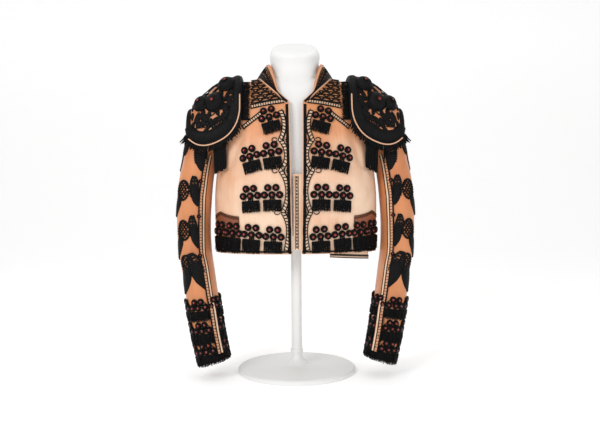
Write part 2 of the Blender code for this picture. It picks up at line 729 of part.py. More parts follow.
def build_pad_fringes():
    """Fringe along each shoulder piece's lower ends and beside its inner edge, front and back."""
    for end, name in ((-1, "front"), (1, "back")):
        flat, faces = comb(PAD_LOCKS, PAD_ROOT, PAD_FRINGE, FRINGE_TIP, TRIM_WALL)
        points = pad_point(flat[:, 0] / PAD_LOCKS, end, flat[:, 2] - PAD_WALL / 2)
        points[:, 2] -= flat[:, 1] + PAD_FRINGE_GAP
        add_pair(f"pad_fringe_{name}", points, faces)
        flat, faces = comb(PAD_INNER_LOCKS, PAD_INNER_ROOT, PAD_INNER_FRINGE, FRINGE_TIP, TRIM_WALL)
        height = PAD_INNER_LOW + flat[:, 0] / PAD_INNER_LOCKS * (PAD_INNER_HIGH - PAD_INNER_LOW)
        arc = arc_to(PAD_INNER_X, height, end > 0) + end * flat[:, 1]
        add_pair(f"pad_inner_fringe_{name}", body_point(arc, height, TRIM_LIFT + flat[:, 2]), faces)


def build_tassels():
    """A short fringed block that hangs from inside each shoulder piece's front end."""
    flat, faces = comb(TASSEL_LOCKS, TASSEL_ROOT, TASSEL_LENGTH, FRINGE_TIP, TRIM_WALL)
    across = TASSEL_START + flat[:, 0] / TASSEL_LOCKS * (TASSEL_END - TASSEL_START)
    points = pad_point(across, -1, flat[:, 2] - PAD_WALL - TRIM_LIFT - TRIM_WALL)
    points[:, 2] += TASSEL_TUCK - flat[:, 1]
    add_pair("tassel", points, faces)


def golpe_layers(golpes):
    """Layers of flat shapes for the golpes of one row, as (arc, height, depth)."""
    combs, links = [], []
    clusters = ([], [])
    last_end = None
    for number, (arc, height, lean) in enumerate(golpes):
        turn = math.radians(-lean)
        swing = np.array([[math.cos(turn), math.sin(turn)], [-math.sin(turn), math.cos(turn)]])
        points, faces = comb(GOLPE_LOCKS, GOLPE_ROOT, GOLPE_FRINGE, FRINGE_TIP, TRIM_WALL)
        points[:, 0] = (points[:, 0] / GOLPE_LOCKS - 0.5) * GOLPE_WIDTH
        points[:, 1] = -GOLPE_DROP - points[:, 1]
        points[:, :2] = points[:, :2] @ swing + (arc, height)
        combs.append((points, faces))
        points, faces = bead_cluster()
        points[:, :2] = points[:, :2] @ swing + (arc, height)
        clusters[number % 2].append((points, faces))
        start = np.array([-BEAD_PITCH, 0.0]) @ swing + (arc, height)
        if last_end is not None:
            side = np.array([0.0, LINK_HALF_WIDTH])
            outline = [last_end - side, start - side, start + side, last_end + side]
            links.append(prism(outline, *LINK_LEVELS))
        last_end = np.array([BEAD_PITCH, 0.0]) @ swing + (arc, height)
    layers = [combs[:1], combs[1:], *clusters, links]
    return [layer for layer in layers if layer]


def build_golpes():
    """Four rows of golpes on each front: every row is joined into one piece."""
    for row in range(1, 5):
        chosen = [values for values in GOLPES.values if values[0] == row]
        golpes = [(float(arc_to(x, height)), height, lean) for _, x, height, lean in chosen]
        flat, faces = united(golpe_layers(golpes))
        for name, side in (("left", 1), ("right", -1)):
            add_object(f"golpes_{name}_row_{row}", laid_on_body(flat, side), faces, "black_cord", BLACK_CORD)


def braid_arc(height):
    """How far the ladder braid's middle lies from the centre line: scallops between its peaks."""
    knots = BRAID.knots
    low = np.clip(np.searchsorted(knots, height, side="right") - 1, 0, len(knots) - 2)
    part = (height - knots[low]) / (knots[low + 1] - knots[low])
    peak = BRAID.straight("peak", height)
    dip = np.sin(math.pi * np.clip(part, 0, 1)) ** 0.8
    return peak + (BRAID.column("trough_above")[low] - peak) * dip


def strip(arcs, heights, name, finish_name, finish, sides=(1, -1), low=TRIM_LIFT, thick=TRIM_WALL):
    """A narrow wall on the body from grids of arc and height, on one or both sides."""
    outer = body_point(arcs, heights, low + thick)
    inner = body_point(arcs, heights, low)
    for side in sides:
        label = name if len(sides) == 1 else f"{name}_{'left' if side > 0 else 'right'}"
        if side > 0:
            add_object(label, *wall(outer, inner), finish_name, finish)
        else:
            add_object(label, *wall(mirrored(outer), mirrored(inner)), finish_name, finish)


def build_front_trims():
    """Ladder braid along the front edges, pocket welts, the underlap and the hem tab."""
    height = np.linspace(BRAID_LOW, BRAID.knots[-1], BRAID_STEPS)[:, None]
    sides = np.array([[-BRAID_HALF_WIDTH, BRAID_HALF_WIDTH]])
    strip(braid_arc(height) + sides, height + 0 * sides, "edge_braid", "black_cord", BLACK_CORD)

    share = np.linspace(0, 1, 9)[None, :]
    start = float(arc_to(WELT_INNER_X, WELT_HEIGHT))
    end = float(arc_to(WELT_OUTER_X, WELT_HEIGHT))
    widths = np.array([[-WELT_HALF_WIDTH], [WELT_HALF_WIDTH]])
    rise = WELT_HEIGHT + WELT_RISE * np.sin(math.pi * share)
    strip(start + (end - start) * share + 0 * widths, rise + widths, "pocket_welt", "dark_satin", DARK_SATIN)

    behind = -CLOTH - LINING_GAP - UNDERLAP_WALL
    across = np.linspace(UNDERLAP_INNER, UNDERLAP_OUTER, 4)[None, :]
    along = np.linspace(UNDERLAP_LOW, UNDERLAP_TOP, 8)[:, None]
    strip(across + 0 * along, along + 0 * across, "front_underlap", "peach_satin", PEACH, (1,), behind,
          UNDERLAP_WALL)

    start = float(arc_to(TAB_INNER_X, HEM_HEIGHT))
    end = float(arc_to(TAB_OUTER_X, HEM_HEIGHT))
    lower = TAB_LOW + TAB_SLOPE * (1 - share)
    heights = np.vstack([lower, TAB_TOP + 0 * share])
    arcs = start + (end - start) * share + 0 * heights
    strip(arcs, heights, "hem_tab", "black_cord", BLACK_CORD, (1,), behind, UNDERLAP_WALL)


def build_sleeve_trims():
    """Band down the front sleeve seam and three tiers of fringe round each cuff."""
    rows = np.linspace(0, CUFF_RUN, SLEEVE_STEPS)
    end = run_at(CUFF_TIERS.column("height")[0]) - BAND_END_RUNS
    run = np.concatenate([rows[(rows > BAND_START_RUN) & (rows < end)], [end]])[:, None]
    turn = SEAM_TURN + np.array([[-BAND_HALF_WIDTH, 0.0, BAND_HALF_WIDTH]]) / SLEEVE_RADIUS
    turn, place = np.broadcast_arrays(turn, run)
    outer = sleeve_point(turn, place, BAND_LIFT + TRIM_WALL)
    add_pair("sleeve_band", *wall(outer, sleeve_point(turn, place, BAND_LIFT)))
    for number, (height, length) in enumerate(CUFF_TIERS.values, start=1):
        flat, faces = comb(CUFF_LOCKS, CUFF_ROOT, length, FRINGE_TIP, TRIM_WALL, loop=True)
        turn = flat[:, 0] / CUFF_LOCKS * 2 * math.pi
        points = sleeve_point(turn, run_at(height - flat[:, 1]), CUFF_LIFT + flat[:, 2])
        add_pair(f"cuff_fringe_{number}", points, faces)


def build_form():
    """The white dress form: chest, shoulders and a neck with a slanted top."""
    turn = np.arange(FORM_SIDES)[None, :] * 2 * math.pi / FORM_SIDES
    values = {name: FORM.column(name)[:, None] for name in FORM.names}
    x = values["half_width"] * power(np.sin(turn), FORM_SQUARENESS)
    depth = np.where(np.cos(turn) > 0, values["front_depth"], values["back_depth"])
    y = -depth * power(np.cos(turn), FORM_SQUARENESS)
    z = values["height"] + values["slant"] * y
    ids = np.arange(x.size).reshape(x.shape)
    faces = grid_faces(np.hstack([ids, ids[:, :1]])) + [tuple(ids[0]), tuple(ids[-1])]
    points = np.stack([x, y, z], axis=-1).reshape(-1, 3)
    add_object("dress_form", points, faces, "form_white", FORM_WHITE)


def build_stand():
    """A turned stand: round base, small foot and a pole up to the form."""
    profile = ((BASE_RADIUS, 0.0), (BASE_RADIUS, 0.008), (BASE_RADIUS - 0.006, 0.012), (0.030, 0.016),
               (0.016, 0.026), (POLE_RADIUS, 0.040), (POLE_RADIUS, FORM_BOTTOM - SEAM_GAP))
    turn = np.arange(STAND_SIDES) * 2 * math.pi / STAND_SIDES
    rings = [np.column_stack([radius * np.cos(turn), radius * np.sin(turn), np.full(STAND_SIDES, height)])
             for radius, height in profile]
    ids = np.arange(len(profile) * STAND_SIDES).reshape(len(profile), STAND_SIDES)
    faces = grid_faces(np.hstack([ids, ids[:, :1]])) + [tuple(ids[0]), tuple(ids[-1])]
    add_object("stand", np.vstack(rings), faces, "form_white", FORM_WHITE)


def main():
    """Build every piece."""
    clear_scene()
    build_stand()
    build_form()
    build_fronts()
    build_back()
    build_collar()
    build_sleeves()
    build_pads()
    build_pad_fringes()
    build_tassels()
    build_front_trims()
    build_golpes()
    build_sleeve_trims()


main()
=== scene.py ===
"""Looks of the matador jacket on its dress form: satin shells, cord work, beads, fringe and padding.

Every piece is worked out on the same surfaces as the solids: the body by arc length from the front
centre line and height, the sleeve by turn and run, the shoulder piece by across and arch. The wearer's
left is at +X and is made first; what is alike on the right is its mirror.
"""
import math

import bpy
import numpy as np
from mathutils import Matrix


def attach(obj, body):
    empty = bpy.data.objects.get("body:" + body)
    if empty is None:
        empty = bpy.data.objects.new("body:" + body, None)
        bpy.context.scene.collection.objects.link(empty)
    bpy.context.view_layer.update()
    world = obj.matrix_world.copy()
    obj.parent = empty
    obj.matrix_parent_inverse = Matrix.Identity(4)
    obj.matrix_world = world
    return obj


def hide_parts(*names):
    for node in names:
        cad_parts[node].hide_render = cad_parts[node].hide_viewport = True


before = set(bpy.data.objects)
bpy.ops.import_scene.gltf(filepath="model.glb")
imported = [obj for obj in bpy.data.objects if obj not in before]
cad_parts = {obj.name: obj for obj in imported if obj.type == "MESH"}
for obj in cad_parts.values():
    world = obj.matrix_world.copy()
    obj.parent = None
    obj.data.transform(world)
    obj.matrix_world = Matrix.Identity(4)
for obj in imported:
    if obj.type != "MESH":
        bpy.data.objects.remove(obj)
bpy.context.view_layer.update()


class Table:
    """Rows of named columns, read as smooth or straight curves over the first column."""

    def __init__(self, names, rows):
        self.names = names
        self.values = np.array(rows, dtype=float)
        self.knots = self.values[:, 0]

    def column(self, name):
        """All values of one column."""
        return self.values[:, self.names.index(name)]

    def straight(self, name, key):
        """The column at key, straight between the rows."""
        return np.interp(key, self.knots, self.column(name))

    def smooth(self, name, key):
        """The column at key on a cubic that keeps the mean slope at each row."""
        column = self.column(name)
        slopes = np.gradient(column, self.knots)
        key = np.clip(np.asarray(key, dtype=float), self.knots[0], self.knots[-1])
        low = np.clip(np.searchsorted(self.knots, key, side="right") - 1, 0, len(self.knots) - 2)
        step = self.knots[low + 1] - self.knots[low]
        t = (key - self.knots[low]) / step
        start = column[low] * (1 + 2 * t) * (1 - t) ** 2
        end = column[low + 1] * (3 - 2 * t) * t ** 2
        bend = slopes[low] * t * (1 - t) ** 2 - slopes[low + 1] * (1 - t) * t ** 2
        return start + end + bend * step


SIDES = ("left", "right")

# Sizes of the cut and of the trims, in metres
SHELL = 0.0012
SEAM_GAP = 0.0005
HEM_HEIGHT = 0.290
NECK_FRONT_HEIGHT = 0.627
NECK_HEIGHT = 0.688
SHOULDER_HEIGHT = 0.668
UNDERARM_HEIGHT = 0.478
BODY_SQUARENESS = 2.4
SLEEVE_SQUARENESS = 2.2
PAD_SQUARENESS = 2.6
FORM_SQUARENESS = 2.2
SLEEVE_RADIUS = 0.045
CUFF_RUN = 12
SEAM_TURN = math.radians(122)
FORM_BOTTOM = 0.330
BASE_RADIUS = 0.140
POLE_RADIUS = 0.0125

BODY = Table(
    ("height", "half_width", "front_depth", "back_depth", "edge_x", "side_x"),
    (
        (HEM_HEIGHT, 0.1880, 0.1000, 0.1000, 0.0105, 0.1880),
        (0.3300, 0.1895, 0.1060, 0.1040, 0.0109, 0.1895),
        (0.3750, 0.1905, 0.1120, 0.1080, 0.0115, 0.1905),
        (0.4250, 0.1900, 0.1170, 0.1120, 0.0122, 0.1900),
        (UNDERARM_HEIGHT, 0.1850, 0.1180, 0.1140, 0.0128, 0.1850),
        (0.4900, 0.1835, 0.1175, 0.1138, 0.0129, 0.1740),
        (0.5150, 0.1800, 0.1150, 0.1125, 0.0133, 0.1650),
        (0.5500, 0.1765, 0.1090, 0.1090, 0.0138, 0.1595),
        (0.5850, 0.1745, 0.1020, 0.1040, 0.0142, 0.1590),
        (0.6100, 0.1735, 0.0955, 0.0990, 0.0145, 0.1605),
        (NECK_FRONT_HEIGHT, 0.1730, 0.0900, 0.0945, 0.0148, 0.1630),
        (0.6380, 0.1725, 0.0860, 0.0910, 0.0290, 0.1650),
        (0.6520, 0.1720, 0.0790, 0.0815, 0.0450, 0.1680),
        (SHOULDER_HEIGHT, 0.1705, 0.0690, 0.0740, 0.0630, 0.1705),
        (0.6770, 0.1530, 0.0610, 0.0695, 0.0725, 0.1530),
        (0.6830, 0.1300, 0.0545, 0.0660, 0.0785, 0.1300),
        (0.6865, 0.1080, 0.0495, 0.0645, 0.0820, 0.1080),
        (NECK_HEIGHT, 0.0900, 0.0460, 0.0620, 0.0845, 0.0900),
    ),
)
SLEEVE = Table(
    ("run", "outer_x", "outer_z", "inner_x", "inner_z", "mid_y", "half_depth"),
    (
        (0, 0.1712, 0.6640, 0.1690, 0.5320, 0.000, 0.0535),
        (1, 0.2030, 0.6400, 0.1745, 0.5280, 0.000, 0.0545),
        (2, 0.2290, 0.6120, 0.1790, 0.5220, -0.001, 0.0545),
        (3, 0.2470, 0.5770, 0.1830, 0.5120, -0.002, 0.0540),
        (4, 0.2600, 0.5300, 0.1880, 0.4940, -0.004, 0.0530),
        (5, 0.2720, 0.4700, 0.1940, 0.4560, -0.007, 0.0520),
        (6, 0.2790, 0.4100, 0.1985, 0.4060, -0.010, 0.0510),
        (7, 0.2800, 0.3500, 0.2010, 0.3500, -0.013, 0.0500),
        (8, 0.2750, 0.2900, 0.1990, 0.2950, -0.018, 0.0490),
        (9, 0.2670, 0.2350, 0.1915, 0.2410, -0.024, 0.0470),
        (10, 0.2560, 0.1700, 0.1825, 0.1790, -0.032, 0.0450),
        (11, 0.2430, 0.1000, 0.1725, 0.1120, -0.041, 0.0430),
        (12, 0.2300, 0.0440, 0.1625, 0.0610, -0.048, 0.0415),
        (13, 0.2240, 0.0180, 0.1580, 0.0380, -0.051, 0.0410),
    ),
)
PAD = Table(
    ("across", "x", "ridge_z", "front_y", "front_z", "back_y", "back_z"),
    (
        (0.00, 0.1240, 0.6960, -0.0900, 0.5880, 0.0950, 0.5900),
        (0.16, 0.1450, 0.6945, -0.0870, 0.5600, 0.0930, 0.5640),
        (0.36, 0.1700, 0.6860, -0.0840, 0.5410, 0.0890, 0.5460),
        (0.55, 0.1950, 0.6700, -0.0780, 0.5320, 0.0820, 0.5370),
        (0.73, 0.2180, 0.6500, -0.0710, 0.5330, 0.0740, 0.5380),
        (0.88, 0.2380, 0.6290, -0.0610, 0.5430, 0.0630, 0.5470),
        (1.00, 0.2530, 0.6040, -0.0470, 0.5580, 0.0490, 0.5610),
    ),
)
COLLAR = Table(
    ("round", "top_x", "top_y", "top_z"),
    (
        (0.00, 0.0155, -0.0890, 0.6330),
        (0.12, 0.0250, -0.0840, 0.6410),
        (0.26, 0.0380, -0.0740, 0.6570),
        (0.40, 0.0460, -0.0580, 0.6880),
        (0.50, 0.0570, -0.0360, 0.7200),
        (0.62, 0.0640, -0.0050, 0.7260),
        (0.80, 0.0480, 0.0460, 0.7290),
        (1.00, 0.0000, 0.0650, 0.7300),
    ),
)
# The neck's rows are shallower in front than the solid's, so that no ring shows where it leaves the shoulders
FORM = Table(
    ("height", "half_width", "front_depth", "back_depth", "slant"),
    (
        (FORM_BOTTOM, 0.1580, 0.0840, 0.0840, 0.0),
        (0.400, 0.1660, 0.0960, 0.0930, 0.0),
        (0.470, 0.1650, 0.1010, 0.0980, 0.0),
        (0.530, 0.1560, 0.0960, 0.0960, 0.0),
        (0.580, 0.1500, 0.0870, 0.0900, 0.0),
        (0.620, 0.1460, 0.0770, 0.0820, 0.0),
        (0.648, 0.1400, 0.0660, 0.0730, 0.0),
        (0.6735, 0.1300, 0.0530, 0.0620, 0.0),
        (0.6834, 0.1050, 0.0450, 0.0560, 0.0),
        (0.6863, 0.0800, 0.0440, 0.0530, 0.0),
        (0.697, 0.0630, 0.0455, 0.0560, 0.0),
        (0.718, 0.0570, 0.0485, 0.0565, 0.0),
        (0.757, 0.0565, 0.0545, 0.0565, 0.3),
        (0.765, 0.0520, 0.0505, 0.0520, 0.42),
    ),
)
BRAID = Table(
    ("height", "peak", "trough_above"),
    (
        (0.300, 0.0225, 0.0190),
        (0.385, 0.0295, 0.0200),
        (0.4774, 0.0340, 0.0220),
        (0.546, 0.0340, 0.0270),
        (0.612, 0.0335, 0.0270),
    ),
)
GOLPES = Table(
    ("row", "x", "height", "lean"),
    (
        (1, 0.0598, 0.5970, 14),
        (2, 0.0557, 0.5180, 8),
        (2, 0.1030, 0.5095, 14),
        (3, 0.0547, 0.4243, 1),
        (3, 0.1030, 0.4219, 4),
        (4, 0.0526, 0.3304, -3),
        (4, 0.1012, 0.3350, -4),
        (4, 0.1440, 0.3380, -3),
        (4, 0.1740, 0.3400, 0),
    ),
)

# Soft creases: the body's run from (top_arc, top) down to (end_arc, end), the sleeve's lie across it
BODY_FOLDS = Table(
    ("top_arc", "top", "end_arc", "end", "depth", "half_width"),
    (
        (0.122, 0.570, 0.168, 0.462, 0.0045, 0.010),
        (0.205, 0.440, 0.150, 0.385, 0.0020, 0.010),
        (0.330, 0.560, 0.300, 0.400, 0.0025, 0.014),
        (0.400, 0.450, 0.395, 0.320, 0.0020, 0.012),
        (0.085, 0.500, 0.120, 0.400, 0.0010, 0.012),
        (0.130, 0.480, 0.185, 0.430, 0.0012, 0.008),
        (0.360, 0.620, 0.330, 0.530, 0.0014, 0.010),
        (0.270, 0.470, 0.250, 0.330, 0.0014, 0.011),
    ),
)
SLEEVE_FOLDS = Table(
    ("run", "turn", "lean", "span", "depth", "half_width"),
    (
        (4.6, 0.5, 0.5, 1.1, 0.0020, 0.45),
        (6.3, 1.2, -0.5, 1.0, 0.0022, 0.45),
        (7.6, 1.7, 0.6, 1.1, 0.0026, 0.45),
        (8.6, 1.0, -0.4, 0.9, 0.0022, 0.45),
        (7.2, -1.6, 0.5, 1.1, 0.0025, 0.45),
        (5.4, 1.6, 0.7, 0.7, 0.0012, 0.22),
        (6.9, 0.9, -0.6, 0.6, 0.0012, 0.20),
        (8.1, 2.0, 0.5, 0.6, 0.0013, 0.18),
        (9.3, 1.2, -0.3, 0.7, 0.0011, 0.20),
        (6.1, -1.2, 0.6, 0.8, 0.0014, 0.25),
        (8.3, -1.9, -0.5, 0.8, 0.0013, 0.22),
        (9.8, -1.3, 0.4, 0.7, 0.0012, 0.22),
    ),
)


def power(value, squareness):
    """The signed power that turns a circle's sine or cosine into a rounder or squarer section's."""
    return np.sign(value) * np.abs(value) ** (2 / squareness)


def unit(vectors):
    """Vectors of length one."""
    return vectors / np.maximum(np.linalg.norm(vectors, axis=-1, keepdims=True), 1e-12)


def turns(count):
    """Angles at even steps of a full turn, from 0."""
    return np.linspace(0, 2 * math.pi, count + 1)[:-1]


def lengths_along(line):
    """How far each point of a line lies from its first point, along it."""
    return np.concatenate([[0], np.cumsum(np.linalg.norm(np.diff(line, axis=0), axis=1))])


class Surface:
    """A surface of two parameters, kept as a fine grid and read between its lines.

    A point is the mean of the four grid points about it, by nearness; lift moves it along the normal,
    which is the cross product of the surface's two slopes.
    """

    def __init__(self, shape, first, second, fold=None, turned=1):
        self.ranges = (first, second)
        a, b = np.meshgrid(first, second, indexing="ij")
        points = shape(a, b)
        self.grids = [points, turned * self.slopes(points)]
        if fold is not None:
            points = points + self.grids[1] * fold(a, b)[..., None]
            self.grids = [points, turned * self.slopes(points)]

    def slopes(self, points):
        """Unit normals of a grid of points."""
        over = np.gradient(points, self.ranges[0], axis=0)
        along = np.gradient(points, self.ranges[1], axis=1)
        return unit(np.cross(over, along))

    def read(self, which, a, b):
        """One of the grids at (a, b)."""
        a, b = np.broadcast_arrays(np.asarray(a, dtype=float), np.asarray(b, dtype=float))
        cells, parts = [], []
        for key, line in zip((a, b), self.ranges):
            place = np.clip((key - line[0]) / (line[1] - line[0]), 0, len(line) - 1.001)
            cells.append(place.astype(int))
            parts.append((place - cells[-1])[..., None])
        grid, (i, j), (s, t) = self.grids[which], cells, parts
        return ((grid[i, j] * (1 - s) + grid[i + 1, j] * s) * (1 - t)
                + (grid[i, j + 1] * (1 - s) + grid[i + 1, j + 1] * s) * t)

    def normal(self, a, b):
        """Unit normals at (a, b)."""
        return unit(self.read(1, a, b))

    def at(self, a, b, lift=0.0):
        """Points at (a, b), moved out by lift."""
        return self.read(0, a, b) + self.normal(a, b) * np.asarray(lift, dtype=float)[..., None]


def body_shape(arc, height):
    """The body's level sections, squared ellipses, by arc length from the front centre line."""
    turn = np.linspace(-0.3 * math.pi, 1.3 * math.pi, 801)
    made = np.empty(arc.shape + (3,))
    for column, level in enumerate(height[0]):
        x = BODY.smooth("half_width", level) * power(np.sin(turn), BODY_SQUARENESS)
        front, back = BODY.smooth("front_depth", level), BODY.smooth("back_depth", level)
        depth = np.where(np.cos(turn) > 0, front, back)
        y = -depth * power(np.cos(turn), BODY_SQUARENESS)
        length = np.concatenate([[0], np.cumsum(np.hypot(np.diff(x), np.diff(y)))])
        length -= np.interp(0, turn, length)
        made[:, column, 0] = np.interp(arc[:, column], length, x)
        made[:, column, 1] = np.interp(arc[:, column], length, y)
    made[..., 2] = height
    return made


def trough(across, along, depth, half_width):
    """A soft trough: a bell across it and a flatter bell along it, whose ends are at -1 and 1."""
    return -depth * np.exp(-(across / half_width) ** 2) * np.exp(-along ** 4)


def body_fold(arc, height):
    """How far the body's creases push its surface in: the sum of its troughs."""
    total = 0
    for top_arc, top, end_arc, end, depth, half_width in BODY_FOLDS.values:
        run = math.hypot(end_arc - top_arc, end - top)
        side, down = np.abs(arc) - top_arc, height - top
        along = (side * (end_arc - top_arc) + down * (end - top)) / run ** 2
        across = (side * (end - top) - down * (end_arc - top_arc)) / run
        total = total + trough(across, 2 * along - 1, depth, half_width)
    return total


def sleeve_shape(turn, run):
    """The left sleeve's sections, squared ellipses between its outer and inner outlines."""
    outer = np.stack([SLEEVE.smooth("outer_x", run), SLEEVE.smooth("outer_z", run)], axis=-1)
    inner = np.stack([SLEEVE.smooth("inner_x", run), SLEEVE.smooth("inner_z", run)], axis=-1)
    flat = (outer + inner) / 2 + (outer - inner) / 2 * power(np.cos(turn), SLEEVE_SQUARENESS)[..., None]
    deep = SLEEVE.smooth("half_depth", run) * power(np.sin(turn), SLEEVE_SQUARENESS)
    y = SLEEVE.smooth("mid_y", run) - deep
    return np.stack([flat[..., 0], y, flat[..., 1]], axis=-1)


def sleeve_fold(turn, run):
    """How far the sleeve's creases push its surface in: troughs across its length."""
    total = 0
    for mid_run, mid_turn, lean, span, depth, half_width in SLEEVE_FOLDS.values:
        side = np.angle(np.exp(1j * (turn - mid_turn)))
        total = total + trough(run - mid_run - lean * side, side / span, depth, half_width)
    return total


def pad_shape(across, arch):
    """The left shoulder piece: an arch over the shoulder, from -1 at the front to 1 at the back."""
    front = arch < 0
    end_y = np.where(front, PAD.smooth("front_y", across), PAD.smooth("back_y", across))
    end_z = np.where(front, PAD.smooth("front_z", across), PAD.smooth("back_z", across))
    bend = np.abs(arch) * math.pi / 2
    y = end_y * power(np.sin(bend), PAD_SQUARENESS)
    z = end_z + (PAD.smooth("ridge_z", across) - end_z) * power(np.cos(bend), PAD_SQUARENESS)
    return np.stack([PAD.smooth("x", across), y, z], axis=-1)


body = Surface(body_shape, np.linspace(-0.06, 0.50, 561), np.linspace(0.262, NECK_HEIGHT, 427), body_fold)
sleeve = Surface(sleeve_shape, np.linspace(-4, 4, 801), np.linspace(0, 13, 521), sleeve_fold)
pad = Surface(pad_shape, np.linspace(0, 1, 201), np.linspace(-1, 1, 401))


def arc_to(x, height, back=False):
    """Arc length from the front centre line to where the section at this height reaches x."""
    def one(x_now, level):
        half_width = BODY.smooth("half_width", level)
        limit = body.ranges[0]
        ring = body_shape(limit[:, None], np.full((len(limit), 1), level))[:, 0]
        wide = int(np.argmax(ring[:, 0]))
        x_now = min(x_now, half_width)
        if back:
            return np.interp(-x_now, -ring[wide:, 0], limit[wide:])
        return np.interp(x_now, ring[:wide + 1, 0], limit[:wide + 1])
    return np.vectorize(one)(x, height)


def back_middle(height):
    """Arc length from the front centre line to the middle of the back."""
    return arc_to(0.0, height, True)


def run_at(height):
    """How far down the sleeve its middle line reaches this height."""
    middle = (SLEEVE.column("outer_z") + SLEEVE.column("inner_z")) / 2
    return np.interp(height, middle[::-1], SLEEVE.knots[::-1])


class Shape:
    """Points, and groups of faces with a texture place at each face corner."""

    def __init__(self, points, groups):
        self.points = points
        self.groups = groups

    def flipped(self):
        """The same shape with every face turned over."""
        return Shape(self.points, [(faces[:, ::-1], places[:, ::-1]) for faces, places in self.groups])

    def outward(self):
        """The shape with its faces pointing out, so that its signed volume is positive."""
        middle = self.points.mean(axis=0)
        volume = 0.0
        for faces, _ in self.groups:
            corners = self.points[faces] - middle
            for last in range(2, faces.shape[1]):
                triple = np.cross(corners[:, last - 1], corners[:, last])
                volume += (corners[:, 0] * triple).sum()
        return self if volume >= 0 else self.flipped()

    def mirrored(self):
        """The shape on the other side of the body."""
        return Shape(self.points * (-1.0, 1.0, 1.0), self.groups).flipped()


def joined(shapes):
    """Several shapes as one."""
    groups, start = [], 0
    for shape in shapes:
        groups += [(faces + start, places) for faces, places in shape.groups]
        start += len(shape.points)
    return Shape(np.vstack([shape.points for shape in shapes]), groups)


def between(grid):
    """The four corners of each cell of a grid, as (cells, 4, ...)."""
    corners = (grid[..., :-1, :-1], grid[..., :-1, 1:], grid[..., 1:, 1:], grid[..., 1:, :-1])
    return np.stack(corners, axis=-1).reshape(-1, 4)


def cells(ids, u, v):
    """Faces of a grid of point numbers and their texture places."""
    return between(ids), np.stack([between(u), between(v)], axis=-1)


def walled(outer, inner, u, v, loop=False):
    """A closed wall between two grids of points, with texture places in metres on both sides."""
    rows, columns = outer.shape[:2]
    ids = np.arange(rows * columns).reshape(rows, columns)
    u, v = np.broadcast_arrays(u, v)
    if loop:
        ids = np.hstack([ids, ids[:, :1]])
    under = ids + rows * columns
    groups = [cells(ids, u, v), cells(under[:, ::-1], u[:, ::-1], v[:, ::-1])]
    edges = [(ids[0], under[0], u[0], v[0]), (under[-1], ids[-1], u[-1], v[-1])]
    if not loop:
        edges += [(under[:, 0], ids[:, 0], u[:, 0], v[:, 0]), (ids[:, -1], under[:, -1], u[:, -1], v[:, -1])]
    for one, other, edge_u, edge_v in edges:
        groups.append(cells(np.stack([other, one]), np.stack([edge_u] * 2), np.stack([edge_v] * 2)))
    return Shape(np.vstack([outer.reshape(-1, 3), inner.reshape(-1, 3)]), groups).outward()


def swept(path, side, out, profile, scale=1.0, loop=False):
    """A profile carried along paths: each ring point is path + (side * s + out * h) * scale.

    The arrays are (paths, points, 3) and the profile is a closed outline of (s, h). The ends are closed
    by fans, unless the path is a loop. The texture place is (length along, share of the way round).
    """
    profile = np.asarray(profile, dtype=float)
    count, stations, sides = *path.shape[:2], len(profile)
    scale = np.broadcast_to(scale, path.shape[:2])[..., None, None]
    arms = side[:, :, None] * profile[:, :1] + out[:, :, None] * profile[:, 1:]
    rings = path[:, :, None] + arms * scale
    ids = np.arange(count * stations * sides).reshape(count, stations, sides)
    ids = np.concatenate([ids, ids[:, :, :1]], axis=2)
    steps = np.linalg.norm(np.diff(path, axis=1), axis=2)
    along = np.concatenate([np.zeros((count, 1)), np.cumsum(steps, axis=1)], axis=1)
    if loop:
        ids = np.concatenate([ids, ids[:, :1]], axis=1)
        last = np.linalg.norm(path[:, :1] - path[:, -1:], axis=2)
        along = np.concatenate([along, along[:, -1:] + last], axis=1)
    u = np.repeat(along[:, :, None], sides + 1, axis=2)
    v = np.broadcast_to(np.linspace(0, 1, sides + 1), u.shape)
    points = [rings.reshape(-1, 3)]
    groups = [cells(ids, u, v)]
    if not loop:
        middle = (rings[:, [0, -1]]).mean(axis=2)
        points.append(middle.reshape(-1, 3))
        centre = count * stations * sides + np.arange(2 * count).reshape(count, 2)
        for end, (one, two) in enumerate(((1, 0), (0, 1))):
            ring = ids[:, -end]
            pairs = (ring[:, :-1], ring[:, 1:])
            hub = np.repeat(centre[:, end:end + 1], sides, axis=1)
            fan = np.stack([hub, pairs[one], pairs[two]], axis=-1)
            length = np.repeat(u[:, -end, :1], sides, axis=1)[..., None]
            turn = np.broadcast_to(np.arange(sides)[:, None] / sides, length.shape)
            place = np.concatenate([length, turn], axis=-1)
            groups.append((fan.reshape(-1, 3), np.repeat(place.reshape(-1, 1, 2), 3, axis=1)))
    return Shape(np.vstack(points), groups).outward()


def circle(radius, sides):
    """A round outline of (s, h), resting on h = 0."""
    turn = (np.arange(sides) + 0.5) * 2 * math.pi / sides
    return np.stack([radius * np.cos(turn), radius * (1 + np.sin(turn))], axis=1)


def oval(half_width, rise, sides):
    """An oval outline of (s, h) about h = 0."""
    turn = turns(sides)
    return np.stack([half_width * np.cos(turn), rise * np.sin(turn)], axis=1)


def laid(surface, a, b, lift=0.0):
    """Paths on a surface with their side and outward directions, each (paths, points, 3).

    A single line of places counts as one path, and a single number stays the same all along it.
    """
    a, b, lift = np.broadcast_arrays(np.atleast_2d(a), np.atleast_2d(b), np.atleast_2d(lift))
    path = surface.at(a, b, lift)
    out = surface.normal(a, b)
    ahead = unit(np.gradient(path, axis=1))
    side = unit(np.cross(ahead, out))
    return path, side, unit(np.cross(side, ahead))


def cord(surface, a, b, radius, lift=0.0, sides=6, loop=False):
    """Round cord laid on a surface along paths of (a, b)."""
    path, side, out = laid(surface, a, b, lift)
    if loop:
        ahead = unit(np.roll(path, -1, axis=1) - np.roll(path, 1, axis=1))
        side = unit(np.cross(ahead, out))
    return swept(path, side, out, circle(radius, sides), loop=loop)


